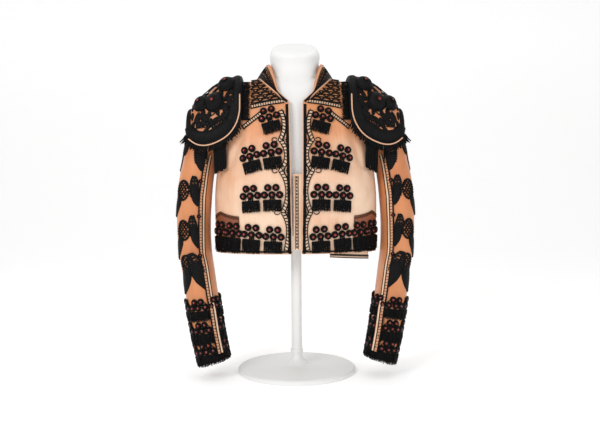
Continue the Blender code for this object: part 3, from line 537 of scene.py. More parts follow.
def stations(path, pitch):
    """Where along the first path a thing repeated at this pitch falls, as fractional point numbers."""
    along = lengths_along(path[0])
    places = np.arange(0.5 * pitch, along[-1], pitch)
    return np.interp(places, along, np.arange(len(along)))


def picked(arrays, place):
    """Each array of the first path at fractional point numbers, straight between its points."""
    low = np.minimum(place.astype(int), arrays[0].shape[1] - 2)
    part = (place - low)[:, None]
    return [array[0, low] * (1 - part) + array[0, low + 1] * part for array in arrays]


def rails(surface, a, b, half_width, radius, lift):
    """Two cords beside a line on a surface, half a width to each side."""
    path, side, out = laid(surface, a, b, lift)
    return [swept(path + sign * half_width * side, side, out, circle(radius, 6)) for sign in (-1, 1)]


def rungs(surface, a, b, half_width, pitch, radius, lift, skew):
    """Short cords across a line on a surface, one each pitch, leaning by skew."""
    arrays = laid(surface, a, b, lift)
    path, side, out = picked(arrays, stations(arrays[0], pitch))
    ahead = unit(np.cross(out, side))
    share = np.linspace(-1, 1, 3)[None, :, None]
    line = path[:, None] + (side[:, None] + skew * ahead[:, None]) * half_width * share
    across = unit(side + skew * ahead)
    beside = np.repeat(unit(np.cross(across, out))[:, None], 3, axis=1)
    return swept(line, beside, np.repeat(out[:, None], 3, axis=1), circle(radius, 4))


def turned(profile, sides, bottom=False):
    """A profile of (radius, height) turned about its axis, its last point a pole; open or closed below."""
    profile = np.asarray(profile, dtype=float)
    turn = np.arange(sides) * 2 * math.pi / sides
    rings = [np.stack([radius * np.cos(turn), radius * np.sin(turn), np.full(sides, height)], axis=1)
             for radius, height in profile[:-1]]
    ids = np.arange(len(rings) * sides).reshape(len(rings), sides)
    ids = np.hstack([ids, ids[:, :1]])
    u = np.broadcast_to(np.linspace(0, 1, sides + 1), ids.shape)
    v = np.repeat(np.arange(len(rings))[:, None] / len(rings), sides + 1, axis=1)
    points = np.vstack(rings + [[(0, 0, profile[-1, 1])], [(0, 0, profile[0, 1])]])
    groups = [cells(ids, u, v)]
    for ring, pole, order in ((-1, -2, (0, 1, 2)), (0, -1, (0, 2, 1))):
        if ring == 0 and not bottom:
            continue
        fan = np.stack([np.full(sides, len(points) + pole), ids[ring, :-1], ids[ring, 1:]], axis=1)[:, order]
        place = np.stack([u[ring, :-1], np.full(sides, 1.0 if ring else 0.0)], axis=1)
        groups.append((fan, np.repeat(place[:, None], 3, axis=1)))
    if not bottom:
        points = points[:-1]
    return Shape(points, groups)


def stamped(template, centres, side, out, size=1.0):
    """Copies of a small shape: each point is centre + (x * side + y * other + z * out) * size."""
    centres, side, out = (np.asarray(part, dtype=float).reshape(-1, 3) for part in (centres, side, out))
    side = unit(side - out * (side * out).sum(axis=1, keepdims=True))
    other = np.cross(out, side)
    size = np.broadcast_to(size, len(centres))[:, None, None]
    local = template.points[None]
    arms = local[..., :1] * side[:, None] + local[..., 1:2] * other[:, None] + local[..., 2:] * out[:, None]
    points = (centres[:, None] + arms * size).reshape(-1, 3)
    starts = np.arange(len(centres))[:, None, None] * len(template.points)
    groups = [((faces[None] + starts).reshape(-1, faces.shape[1]),
               np.tile(places, (len(centres), 1, 1))) for faces, places in template.groups]
    return Shape(points, groups)


def piece(name, shapes, finish, replaces=(), sharp=50):
    """A mesh object from shapes, with its finish and the solids that it stands for."""
    shape = joined(shapes)
    mesh = bpy.data.meshes.new(name)
    widths = np.concatenate([np.full(len(faces), faces.shape[1]) for faces, _ in shape.groups])
    numbers = np.concatenate([faces.ravel() for faces, _ in shape.groups])
    places = np.concatenate([places.reshape(-1, 2) for _, places in shape.groups])
    mesh.vertices.add(len(shape.points))
    mesh.vertices.foreach_set("co", shape.points.astype(np.float32).ravel())
    mesh.loops.add(len(numbers))
    mesh.loops.foreach_set("vertex_index", numbers.astype(np.int32))
    mesh.polygons.add(len(widths))
    mesh.polygons.foreach_set("loop_start", (np.cumsum(widths) - widths).astype(np.int32))
    mesh.uv_layers.new(name="UVMap").data.foreach_set("uv", places.astype(np.float32).ravel())
    mesh.update(calc_edges=True)
    mesh.shade_smooth()
    mesh.set_sharp_from_angle(angle=math.radians(sharp))
    mesh.materials.append(finish)
    obj = bpy.data.objects.new(name, mesh)
    bpy.context.scene.collection.objects.link(obj)
    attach(obj, "root")
    if replaces:
        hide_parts(*replaces)
    return obj


def on_side(side, shapes):
    """Shapes made for the wearer's left, or their mirrors for the right."""
    return shapes if side == "left" else [shape.mirrored() for shape in shapes]


def pair(name, shapes, finish, replaces=(), sharp=50):
    """A piece on the wearer's left and its mirror on the right."""
    made = {}
    for side in SIDES:
        solids = [solid.format(side=side) for solid in replaces]
        made[side] = piece(f"{name}_{side}", on_side(side, shapes), finish, solids, sharp)
    return made


class Value:
    """A node's output that takes part in sums: every operator adds one Math node."""

    def __init__(self, finish, socket):
        self.finish = finish
        self.socket = socket

    def maths(self, operation, *parts):
        """A Math node on one or two parts."""
        return self.finish.node("ShaderNodeMath", {"operation": operation}, dict(enumerate(parts)))

    def __add__(self, other):
        return self.maths("ADD", self, other)

    def __radd__(self, other):
        return self.maths("ADD", other, self)

    def __sub__(self, other):
        return self.maths("SUBTRACT", self, other)

    def __rsub__(self, other):
        return self.maths("SUBTRACT", other, self)

    def __mul__(self, other):
        return self.maths("MULTIPLY", self, other)

    def __rmul__(self, other):
        return self.maths("MULTIPLY", other, self)

    def __truediv__(self, other):
        return self.maths("DIVIDE", self, other)

    def sine(self):
        """The sine of a value in radians."""
        return self.maths("SINE", self)

    def held(self):
        """The value kept between 0 and 1."""
        return self.maths("MINIMUM", self.maths("MAXIMUM", self, 0.0), 1.0)


class Finish:
    """A material with a Principled shader, whose uniform values stand on the shader's own sockets."""

    def __init__(self, name, uniform):
        self.material = bpy.data.materials.new(name)
        self.material.use_nodes = True
        self.nodes = self.material.node_tree.nodes
        self.links = self.material.node_tree.links
        self.shader = self.nodes["Principled BSDF"]
        for socket, value in uniform.items():
            self.shader.inputs[socket].default_value = value

    def node(self, kind, settings, values, output=0):
        """Any node: its settings first, then its sockets' values or links; returns one output."""
        made = self.nodes.new(kind)
        for name, value in settings.items():
            setattr(made, name, value)
        for key, value in values.items():
            if isinstance(value, Value):
                self.links.new(value.socket, made.inputs[key])
            else:
                made.inputs[key].default_value = value
        return Value(self, made.outputs[output])

    def give(self, socket, value):
        """Links a value to one of the shader's sockets."""
        self.links.new(value.socket, self.shader.inputs[socket])

    def spot(self):
        """Object coordinates, in metres."""
        return self.node("ShaderNodeTexCoord", {}, {}, "Object")

    def laid_out(self):
        """The piece's own texture places as two values."""
        place = self.node("ShaderNodeTexCoord", {}, {}, "UV")
        both = self.node("ShaderNodeSeparateXYZ", {}, {0: place}).socket.node
        return Value(self, both.outputs[0]), Value(self, both.outputs[1])

    def noise(self, place, scale, detail=2.0, stretch=(1, 1, 1)):
        """Cloudy noise from 0 to 1 with this many clouds a metre."""
        moved = self.node("ShaderNodeVectorMath", {"operation": "MULTIPLY"}, {0: place, 1: stretch})
        return self.node("ShaderNodeTexNoise", {}, {"Vector": moved, "Scale": scale, "Detail": detail})

    def mixed(self, share, one, other):
        """One colour fading to another as the share goes from 0 to 1."""
        return self.node("ShaderNodeMix", {"data_type": "RGBA"}, {0: share, 6: one, 7: other}, 2)

    def bumped(self, height, distance, strength=1.0):
        """Raises the surface by height times distance, in metres."""
        values = {"Height": height, "Distance": distance, "Strength": strength}
        self.give("Normal", self.node("ShaderNodeBump", {}, values))


def satin(name, pale, deep, height_painted_shade, roughness, painted_highlight_weight=0.2):
    """Silk satin: cloudy tone, fine slubs, painted highlights in pale streaks, and painted light by height:
    deeper towards the shoulders, paler lower down where the light falls.
    """
    finish = Finish(name, {"Sheen Weight": 0.06, "Sheen Roughness": 0.35, "Specular IOR Level": 0.5})
    spot = finish.spot()
    across, along = finish.laid_out()
    clouds = finish.noise(spot, 9.0, 3.0)
    slubs = finish.noise(spot, 160.0, 2.0, (1, 1, 0.08))
    height = finish.node("ShaderNodeSeparateXYZ", {}, {0: spot}, 2)
    # Painted light by height: the colour deepens towards the shoulders as painted shade, paler lower down
    # where the light falls
    rise = ((height - HEIGHT_SHADE_START) / (HEIGHT_SHADE_END - HEIGHT_SHADE_START)).held()
    tone = ((clouds - 0.44) * 1.6 + (slubs - 0.5) * 0.35 + rise * height_painted_shade).held()
    # Painted highlight: pale streaks of satin sheen mixed into the colour
    painted_highlight = ((finish.noise(spot, 15.0, 4.0, (1.6, 1.6, 0.35)) - 0.56) * 5.0).held() * painted_highlight_weight
    finish.give("Base Color", finish.mixed(painted_highlight, finish.mixed(tone, pale, deep), PAINTED_HIGHLIGHT))
    finish.give("Roughness", roughness + (clouds - 0.5) * 0.12 + (slubs - 0.5) * 0.10)
    warp = (across * (2 * math.pi / WARP_PITCH)).sine()
    weft = ((along + across * 0.25) * (2 * math.pi / WEFT_PITCH)).sine()
    finish.bumped(slubs * 0.8 + warp * 0.12 + weft * 0.10 + clouds * 0.6, 0.0004, 0.5)
    return finish.material


def twisted(name, dark, light, roughness, plies, pitch):
    """Twisted cord: plies wind round it once each pitch, with painted shade in the grooves between them."""
    finish = Finish(name, {"Specular IOR Level": 0.10})
    along, turn = finish.laid_out()
    wind = ((turn * plies + along / pitch) * (2 * math.pi)).sine() * 0.5 + 0.5
    fuzz = finish.noise(finish.spot(), 900.0, 3.0)
    # Painted shade: darker in the grooves between the plies and lighter on their crests, with random fuzz
    finish.give("Base Color", finish.mixed((wind * 0.7 + fuzz * 0.4).held(), dark, light))
    finish.give("Roughness", roughness + (fuzz - 0.5) * 0.2)
    finish.bumped(wind * 0.8 + fuzz * 0.5, 0.0004, 0.8)
    return finish.material


def bead_glass():
    """Garnet glass: deep red with cloudy patches of brighter red as painted glints, under a clear gloss."""
    finish = Finish("garnet_glass", {"Coat Weight": 0.22, "Coat Roughness": 0.15, "Specular IOR Level": 0.5})
    cloud = finish.noise(finish.spot(), 260.0, 2.0)
    # Painted glints: cloudy patches of brighter red on the deep red glass
    finish.give("Base Color", finish.mixed(((cloud - 0.35) * 2.5).held(), GARNET_DEEP, GARNET_GLINT))
    finish.give("Roughness", 0.14 + cloud * 0.12)
    return finish.material


def painted_shell():
    """Smooth white paint with a faint eggshell texture and slight handling marks."""
    finish = Finish("white_shell", {"Specular IOR Level": 0.4, "Coat Weight": 0.05})
    spot = finish.spot()
    broad, fine = finish.noise(spot, 7.0, 3.0), finish.noise(spot, 420.0, 2.0)
    finish.give("Base Color", finish.mixed(((broad - 0.4) * 1.6).held(), SHELL_WHITE, SHELL_GREY))
    finish.give("Roughness", 0.40 + (broad - 0.5) * 0.15)
    finish.bumped(fine, 0.0003, 0.25)
    return finish.material


def stage_paint():
    """Matt pale paint of the floor and backdrop."""
    finish = Finish("stage_paint", {"Roughness": 0.9, "Specular IOR Level": 0.1, "Base Color": STAGE_WHITE,
                                    "Emission Color": STAGE_WHITE, "Emission Strength": STAGE_GLOW})
    return finish.material


# Heights between which the satin's painted shade deepens towards the shoulders
HEIGHT_SHADE_START, HEIGHT_SHADE_END = 0.425, 0.575
# The colour of the satin's painted highlights
PAINTED_HIGHLIGHT = (0.86, 0.62, 0.46, 1)
WARP_PITCH, WEFT_PITCH = 0.0009, 0.0012
CREAM, PEACH = (0.80, 0.57, 0.41, 1), (0.62, 0.245, 0.095, 1)
COPPER_PALE, COPPER_DEEP = (0.60, 0.228, 0.086, 1), (0.385, 0.098, 0.028, 1)
POCKET_PALE, POCKET_DEEP = (0.27, 0.074, 0.028, 1), (0.155, 0.038, 0.014, 1)
# Cord colours, each pair as groove and crest; the darker groove tone is painted shade
BLACK, SOFT_BLACK = (0.0016, 0.0016, 0.0018, 1), (0.0065, 0.006, 0.0062, 1)
CORD_PEACH, CORD_CREAM = (0.55, 0.24, 0.12, 1), (0.82, 0.55, 0.38, 1)
BROWN, SOFT_BROWN = (0.05, 0.018, 0.010, 1), (0.16, 0.06, 0.03, 1)
# The garnet's deep red, and the brighter red of its painted glints
GARNET_DEEP, GARNET_GLINT = (0.065, 0.004, 0.003, 1), (0.32, 0.018, 0.010, 1)
SHELL_WHITE, SHELL_GREY = (0.78, 0.78, 0.77, 1), (0.74, 0.74, 0.72, 1)
STAGE_WHITE, STAGE_GLOW = (0.92, 0.92, 0.92, 1), 0.24
RIBBON_PALE, RIBBON_DEEP = (0.84, 0.60, 0.42, 1), (0.74, 0.42, 0.24, 1)
BAND_PALE, BAND_DEEP = (0.72, 0.36, 0.19, 1), (0.58, 0.21, 0.09, 1)

# The fourth number is the painted shade towards the shoulders; the last is the weight of the painted
# highlights
peach_satin = satin("peach_satin_cloth", CREAM, PEACH, 0.85, 0.40)
copper_satin = satin("copper_satin_cloth", COPPER_PALE, COPPER_DEEP, 0.10, 0.38, 0.45)
pocket_satin = satin("pocket_satin_cloth", POCKET_PALE, POCKET_DEEP, 0.0, 0.42, 0.0)
black_cord = twisted("black_twisted_cord", BLACK, SOFT_BLACK, 0.52, 2, 0.0042)
black_thread = twisted("black_fine_thread", BLACK, SOFT_BLACK, 0.58, 1, 0.0022)
peach_cord = twisted("peach_twisted_cord", CORD_PEACH, CORD_CREAM, 0.45, 2, 0.0038)
brown_cord = twisted("brown_twisted_cord", BROWN, SOFT_BROWN, 0.50, 2, 0.0038)
garnet = bead_glass()
shell_white = painted_shell()
pale_ribbon = satin("pale_ribbon", RIBBON_PALE, RIBBON_DEEP, 0.1, 0.45)
band_ribbon = satin("band_ribbon", BAND_PALE, BAND_DEEP, 0.0, 0.45)


def between_edges(start, end, height, columns):
    """Arc and height of a panel whose edges are given at each height."""
    arc = start[:, None] + (end - start)[:, None] * np.linspace(0, 1, columns)
    return np.broadcast_arrays(arc, height[:, None])


def front_edge(height):
    """Arc length from the centre line to the front's edge."""
    return arc_to(BODY.straight("edge_x", height), height)


def whole_wall(surface, a, b, u, v):
    """A thin closed wall from a left half, joined to its mirror at its last column."""
    halves = [surface.at(a, b), surface.at(a, b, -SHELL)]
    for half in halves:
        half[:, -1, 0] = 0.0
    both = [np.hstack([half, (half * (-1, 1, 1))[:, -2::-1]]) for half in halves]
    return walled(*both, u, v)


def levels(low, high, count):
    """Heights from low to high, with every row of the body's table among them."""
    rows = BODY.knots[(BODY.knots >= low) & (BODY.knots <= high)]
    return np.unique(np.concatenate([np.linspace(low, high, count), rows]).round(5))


def build_body():
    """Right and left fronts and the back, cut to the same edges as their solids."""
    height = levels(HEM_HEIGHT, NECK_HEIGHT, 66)
    side_x = BODY.straight("side_x", height)
    arc, level = between_edges(front_edge(height), arc_to(side_x, height) - MEETING_GAP, height, 36)
    front = walled(body.at(arc, level), body.at(arc, level, -SHELL), arc, level)
    fronts = pair("satin_front", [front], peach_satin, ["front_{side}"])
    for cloth in fronts.values():
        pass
    end = back_middle(height)
    arc, level = between_edges(arc_to(side_x, height, True) + MEETING_GAP, end, height, 32)
    u = np.hstack([arc, 2 * end[:, None] - arc[:, -2::-1]])
    v = np.hstack([level, level[:, -2::-1]])
    back = piece("satin_back", [whole_wall(body, arc, level, u, v)], peach_satin, ["back"])


def build_sleeve_cloth():
    """Each sleeve's top and under piece, open at the armhole and the cuff."""
    gap = MEETING_GAP / SLEEVE_RADIUS
    pieces = (
        ("top", np.linspace(-SEAM_TURN, SEAM_TURN, 52), TOP_SLEEVE_FLAT, TOP_SLEEVE_AREA),
        ("under", np.linspace(SEAM_TURN + gap, 2 * math.pi - SEAM_TURN - gap, 26), UNDER_SLEEVE_FLAT,
         UNDER_SLEEVE_AREA),
    )
    run = np.linspace(0, CUFF_RUN, 100)[:, None]
    for part, turns, flat, area in pieces:
        turn, place = np.broadcast_arrays(turns[None], run)
        wrapped = np.angle(np.exp(1j * turn))
        outer, inner = sleeve.at(wrapped, place), sleeve.at(wrapped, place, -SHELL)
        shape = walled(outer, inner, turn * SLEEVE_RADIUS, place * RUN_LENGTH)
        for side in SIDES:
            cloth = piece(f"satin_sleeve_{side}_{part}", on_side(side, [shape]), copper_satin,
                          [f"sleeve_{side}_{part}"])


def neckline(count):
    """The left half of the neckline, from the front corner to the middle of the back."""
    height = np.linspace(NECK_FRONT_HEIGHT, NECK_HEIGHT, count)
    front = body.at(front_edge(height), height)
    arc = np.linspace(arc_to(BODY.column("side_x")[-1], NECK_HEIGHT, True), back_middle(NECK_HEIGHT), count)
    return np.vstack([front, body.at(arc, NECK_HEIGHT + 0 * arc)])


def collar_shape(place, share):
    """The stand collar's left half: straight up from the neckline to the top line of its table."""
    line = neckline(80)
    length = lengths_along(line)
    base = np.stack([np.interp(place, length / length[-1], line[:, axis]) for axis in range(3)], axis=-1)
    base[..., 2] += COLLAR_LIFT
    top = np.stack([COLLAR.smooth(name, place) for name in ("top_x", "top_y", "top_z")], axis=-1)
    swell = COLLAR_SWELL * np.sin(math.pi * share)[..., None] * np.stack(
        [np.sign(top[..., 0]), -0.4 + 1.4 * place, 0 * place], axis=-1)
    return base + (top - base) * share[..., None] + swell


def build_collar():
    """The collar's cloth, one wall from corner to corner round the back."""
    place, share = np.meshgrid(np.linspace(0, 1, 80), np.linspace(0, 1, 10))
    u = np.hstack([place, 2 - place[:, -2::-1]]) * COLLAR_LENGTH
    v = np.hstack([share, share[:, -2::-1]]) * COLLAR_STAND
    wall = whole_wall(collar, place, share, u, v)
    cloth = piece("satin_collar", [wall], peach_satin, ["collar"])


def build_form():
    """The dress form: FORM's sections between smooth lines, closed below and by a slanted disc above."""
    height = np.unique(np.concatenate([np.linspace(FORM_BOTTOM, FORM.knots[-1], 90), FORM.knots]))
    names = ("half_width", "front_depth", "back_depth", "slant")
    rows = {name: FORM.smooth(name, height) for name in names}
    caps = {name: [rows[name][0] * np.array([0.0, 0.5, 0.97]), rows[name][-1] * np.array([0.97, 0.5, 0.0])]
            for name in names[:3]}
    rows["slant"] = np.concatenate([[0, 0, 0], rows["slant"], [rows["slant"][-1]] * 3])
    for name in names[:3]:
        rows[name] = np.concatenate([caps[name][0], rows[name], caps[name][1]])
    height = np.concatenate([[height[0]] * 3, height, height[-1] + np.array([4, 9, 10]) * 1e-4])
    turn = np.arange(FORM_SIDES) * 2 * math.pi / FORM_SIDES
    values = {name: column[:, None] for name, column in rows.items()}
    x = values["half_width"] * power(np.sin(turn), FORM_SQUARENESS)
    depth = np.where(np.cos(turn) > 0, values["front_depth"], values["back_depth"])
    y = -depth * power(np.cos(turn), FORM_SQUARENESS)
    z = height[:, None] + values["slant"] * y
    points = np.stack([x, y, z], axis=-1)
    ids = np.arange(x.size).reshape(x.shape)
    ids = np.hstack([ids, ids[:, :1]])
    u = np.broadcast_to(np.linspace(0, 1, FORM_SIDES + 1), ids.shape)
    groups = [cells(ids[1:-1], u[1:-1], np.broadcast_to(height[1:-1, None], ids[1:-1].shape))]
    flat = points.reshape(-1, 3)
    ends = np.array([points[0].mean(axis=0), points[-1].mean(axis=0)])
    for end, ring, order in ((0, 1, (0, 2, 1)), (1, -2, (0, 1, 2))):
        hub = np.full(FORM_SIDES, len(flat) + end)
        fan = np.stack([hub, ids[ring, :-1], ids[ring, 1:]], axis=1)[:, order]
        groups.append((fan, np.zeros((FORM_SIDES, 3, 2))))
    keep = Shape(np.vstack([flat, ends]), groups).outward()
    piece("smooth_form", [used_points(keep)], shell_white, ["dress_form"], sharp=35)


def used_points(shape):
    """The shape without points that no face uses."""
    used = np.unique(np.concatenate([faces.ravel() for faces, _ in shape.groups]))
    number = np.zeros(len(shape.points), dtype=int)
    number[used] = np.arange(len(used))
    return Shape(shape.points[used], [(number[faces], places) for faces, places in shape.groups])


def build_stand():
    """The turned stand: a round base with a softened rim, a small foot and the pole."""
    rim = BASE_RADIUS - 0.003 * (1 - np.sin(np.linspace(0, math.pi / 2, 7)))
    rim_height = 0.008 + 0.003 * (1 - np.cos(np.linspace(0, math.pi / 2, 7)))
    profile = [(BASE_RADIUS - 0.001, 0.0), (BASE_RADIUS, 0.001), *zip(rim[::-1], rim_height)]
    slope = np.linspace(0, 1, 9)[1:]
    profile += [(0.137 + (0.032 - 0.137) * s, 0.0115 + 0.0045 * s ** 2) for s in slope]
    foot = np.linspace(0, 1, 9)[1:]
    profile += [(POLE_RADIUS + 0.0195 * (1 - s) ** 2, 0.016 + 0.024 * s) for s in foot]
    profile += [(POLE_RADIUS, 0.044), (0.0145, 0.045), (0.0145, 0.053), (POLE_RADIUS, 0.054)]
    profile += [(POLE_RADIUS, FORM_BOTTOM - 0.012), (0.020, FORM_BOTTOM - 0.010),
                (0.020, FORM_BOTTOM - SEAM_GAP), (0.0, FORM_BOTTOM - SEAM_GAP)]
    stand = turned(profile, 96, True).outward()
    piece("turned_stand", [stand], shell_white, ["stand"], sharp=35)


MEETING_GAP = 0.00015
FORM_SIDES = 72
RUN_LENGTH = 0.055
COLLAR_LIFT = 0.0009
COLLAR_SWELL = 0.0015
COLLAR_LENGTH, COLLAR_STAND = 0.235, 0.045
TOP_SLEEVE_FLAT, TOP_SLEEVE_AREA = (0.230, 0.640), 0.115
UNDER_SLEEVE_FLAT, UNDER_SLEEVE_AREA = (0.130, 0.540), 0.046

collar = Surface(collar_shape, np.linspace(0, 1, 201), np.linspace(0, 1, 21))
build_form()
build_stand()
build_body()
build_sleeve_cloth()
build_collar()


def hanging(surface, a, b, ahead, lengths, radius, seed, lift):
    """Fringe laid on a surface: each strand leaves its root (a, b) along ahead and swings sideways.

    Its sideways swing is a sine of random phase that grows towards the tip, its lift rises and falls, and
    its radius goes from full at the root to two thirds at the tip.
    """
    draw = np.random.default_rng(seed)
    count = len(lengths)
    share = np.linspace(0, 1, 6)[None]
    phase = draw.uniform(0, 2 * math.pi, (count, 1))
    swing = GOLPE_SWAY * share * np.sin(phase + share * draw.uniform(2, 7, (count, 1)))
    rise = draw.uniform(*lift, (count, 1)) + 0.0008 * np.sin(phase * 2 + share * 5)
    down = np.asarray(lengths)[:, None] * share
    path_a = a[:, None] + ahead[0] * down - ahead[1] * swing
    path_b = b[:, None] + ahead[1] * down + ahead[0] * swing
    path, side, out = laid(surface, path_a, path_b, rise)
    return swept(path, side, out, circle(radius, 4), 1.0 - THREAD_TAPER * share)


def golpe(arc, height, lean, reach, seed):
    """One golpe: the places of its five rosettes, its stem, bar and stitched heading, and its fringe."""
    turn = math.radians(-lean)
    right, up = np.array([math.cos(turn), math.sin(turn)]), np.array([-math.sin(turn), math.cos(turn)])
    centre = np.array([arc, height])

    def at(x, y):
        """Flat places at x to the outer side of the middle rosette and y above it."""
        x, y = np.broadcast_arrays(np.asarray(x, dtype=float), np.asarray(y, dtype=float))
        return centre[0] + x * right[0] + y * up[0], centre[1] + x * right[1] + y * up[1]

    cords, threads = [], []
    stem = np.linspace(-0.004, GOLPE_BAR + 0.001, 5)
    for x in GOLPE_STEM:
        cords.append(cord(body, *at(x * (1 + np.abs(stem / GOLPE_BAR)), stem), 0.0016, 0.0006))
    bar = np.linspace(-GOLPE_HALF, GOLPE_HALF, 12)
    for row, radius in GOLPE_BAR_CORDS:
        cords.append(cord(body, *at(bar, GOLPE_BAR + row), radius, 0.0012))
    draw = np.random.default_rng(seed)
    for layer, (lift, count) in enumerate(GOLPE_LAYERS):
        x = np.linspace(-GOLPE_HALF, GOLPE_HALF, count) + draw.uniform(-0.0004, 0.0004, count)
        lengths = reach * (1 + draw.uniform(-0.10, 0.09, count))
        a, b = at(x, GOLPE_BAR)
        threads.append(hanging(body, a, b, -up, lengths, 0.00095, seed + layer, lift=lift))
    curls = np.linspace(-GOLPE_HALF, GOLPE_HALF, 15)
    for row in range(3):
        x = curls[:-1] + (row % 2) * 0.0013 + draw.uniform(-0.0004, 0.0004, 14)
        y = GOLPE_BAR - 0.0095 - 0.0062 * row + draw.uniform(-0.0007, 0.0007, 14)
        ring = turns(7)[None]
        a, b = at(x[:, None] + 0.0012 * np.cos(ring), y[:, None] + 0.0016 * np.sin(ring))
        threads.append(cord(body, a, b, 0.00055, 0.0052, sides=4, loop=True))
    places = [at(x * GOLPE_PITCH, y * GOLPE_PITCH) for x, y in GOLPE_FLOWER]
    return cords, threads, [(float(a), float(b)) for a, b in places]


def rosettes(surface, places, size=1.0, lift=0.0006):
    """Wound black rosettes and their garnet centres at (a, b) places of a surface."""
    a, b = np.array(places).T
    centres, out = surface.at(a, b, lift), surface.normal(a, b)
    side = surface.at(a + 0.002, b) - surface.at(a, b)
    return stamped(ROSETTE, centres, side, out, size), stamped(STONE, centres, side, out, size)


def build_golpes():
    """Four rows of golpes on each front: rosettes, cords, fringe and garnet stones."""
    for row in range(1, 5):
        cords, threads, places = [], [], []
        chosen = [values for values in GOLPES.values if values[0] == row]
        for number, (_, x, height, lean) in enumerate(chosen):
            arc = float(arc_to(x, height))
            reach = GOLPE_FRINGE
            if row == 4:
                reach = max(reach, height + GOLPE_BAR - HEM_HEIGHT - 0.0035)
            one_cords, one_threads, one_places = golpe(arc, height, lean, reach, 100 * row + 10 * number)
            cords, threads, places = cords + one_cords, threads + one_threads, places + one_places
        black, red = rosettes(body, places)
        for side in SIDES:
            end = f"{side}_row_{row}"
            raised = on_side(side, [black] + cords)
            piece(f"rosettes_{end}", raised, black_cord, [f"golpes_{end}"])
            piece(f"golpe_fringe_{end}", on_side(side, threads), black_thread)
            piece(f"garnets_{end}", on_side(side, [red]), garnet, sharp=20)


GOLPE_PITCH = 0.0171
GOLPE_BAR = -0.0120
GOLPE_HALF = 0.0200
GOLPE_FRINGE = 0.0240
GOLPE_SWAY = 0.0007
THREAD_TAPER = 0.35
GOLPE_STEM = (-0.0026, 0.0, 0.0026)
GOLPE_BAR_CORDS = ((0.0, 0.0016), (-0.0029, 0.0013), (-0.0054, 0.0013))
GOLPE_LAYERS = (((0.0006, 0.0022), 26), ((0.0028, 0.0052), 24))
GOLPE_FLOWER = ((-1, 0), (0, 0), (1, 0), (-0.53, 0.94), (0.53, 0.94))
ROSETTE = turned(((0.0076, 0.0), (0.0083, 0.0012), (0.0084, 0.0026), (0.0078, 0.0042), (0.0062, 0.0056),
                  (0.0048, 0.0061), (0.0038, 0.0056), (0.0034, 0.0044), (0.0, 0.0044)), 18)
STONE = turned(((0.0033, 0.0038), (0.0034, 0.0048), (0.0027, 0.0060), (0.0014, 0.0066), (0.0, 0.0067)), 8)
build_golpes()


def pad_roll(across, width, rise, start, end, seed):
    """A stuffed roll along the shoulder piece, wound with thread: its radius swells between the turns."""
    arch = np.linspace(start, end, 220)
    path, side, out = laid(pad, across, arch, -0.0005)
    draw = np.random.default_rng(seed)
    winding = np.abs(np.sin(np.linspace(0, 62 * math.pi, 220)))
    scale = 0.86 + 0.14 * np.sqrt(winding) + draw.uniform(-0.03, 0.03, 220)
    return swept(path, side, out, oval(width, rise, 14), scale[None])


def dome(across, arch, radius, rise, petals):
    """A padded rosette: a ribbed dome of thread, a ring at its foot and one at its red centre.

    Its height is rise * sqrt(1 - 0.98 * (r / radius)^2.2), and its ribs are a cosine of the angle.
    """
    centre, out = pad.at(across, arch)[None], pad.normal(across, arch)[None]
    side = pad.at(across + 0.01, arch)[None] - centre
    share = np.linspace(1, 0.24, 12)
    turn = np.arange(petals * 4) * 2 * math.pi / (petals * 4)
    rib = np.abs(np.cos(turn * petals / 2))
    wide = radius * share[:, None] * (1 + 0.02 * rib * share[:, None])
    high = rise * np.sqrt(1 - 0.98 * share[:, None] ** 2.2)
    high = high + 0.0006 * rib * np.sin(math.pi * share[:, None] ** 1.5)
    foot = 0.0035 * (share[:, None] > 0.99)
    points = np.stack([wide * np.cos(turn), wide * np.sin(turn), high - foot], axis=-1)
    ids = np.arange(points[..., 0].size).reshape(points.shape[:2])
    ids = np.hstack([ids, ids[:, :1]])
    u = np.broadcast_to(np.arange(len(turn) + 1) / petals, ids.shape)
    v = np.broadcast_to((1 - share)[:, None] * radius, ids.shape)
    shape = Shape(points.reshape(-1, 3), [cells(ids, v, u)]).outward()
    parts = [stamped(shape, centre, side, out)]
    ring = turns(40)
    for reach, thick, height in ((1.03, 0.0021, 0.0), (0.27, 0.0015, rise * 0.95)):
        wide = radius * reach
        flat = np.stack([wide * np.cos(ring), wide * np.sin(ring), 0 * ring + height], axis=1)
        ahead = unit(np.roll(flat, -1, axis=0) - np.roll(flat, 1, axis=0))[None]
        beside = np.cross(ahead, (0.0, 0.0, 1.0))
        torus = swept(flat[None], beside, 0 * beside + (0, 0, 1), circle(thick, 6), loop=True)
        parts.append(stamped(torus, centre, side, out))
    red = turned(((radius * 0.20, rise * 0.90), (radius * 0.21, rise * 1.02), (radius * 0.14, rise * 1.12),
                  (0.0, rise * 1.15)), 10)
    return parts, stamped(red, centre, side, out)


def smooth_line(points, count):
    """A Catmull-Rom line through points, as count places at even steps of the parameter."""
    points = np.asarray(points, dtype=float)
    last = len(points) - 1
    t = np.linspace(0, last, count)
    low = np.minimum(t.astype(int), last - 1)
    part = (t - low)[:, None]
    before, one, two, after = (points[np.clip(low + step, 0, last)] for step in (-1, 0, 1, 2))
    return 0.5 * (2 * one + (two - before) * part + (2 * before - 5 * one + 4 * two - after) * part ** 2
                  + (3 * one - before - 3 * two + after) * part ** 3)


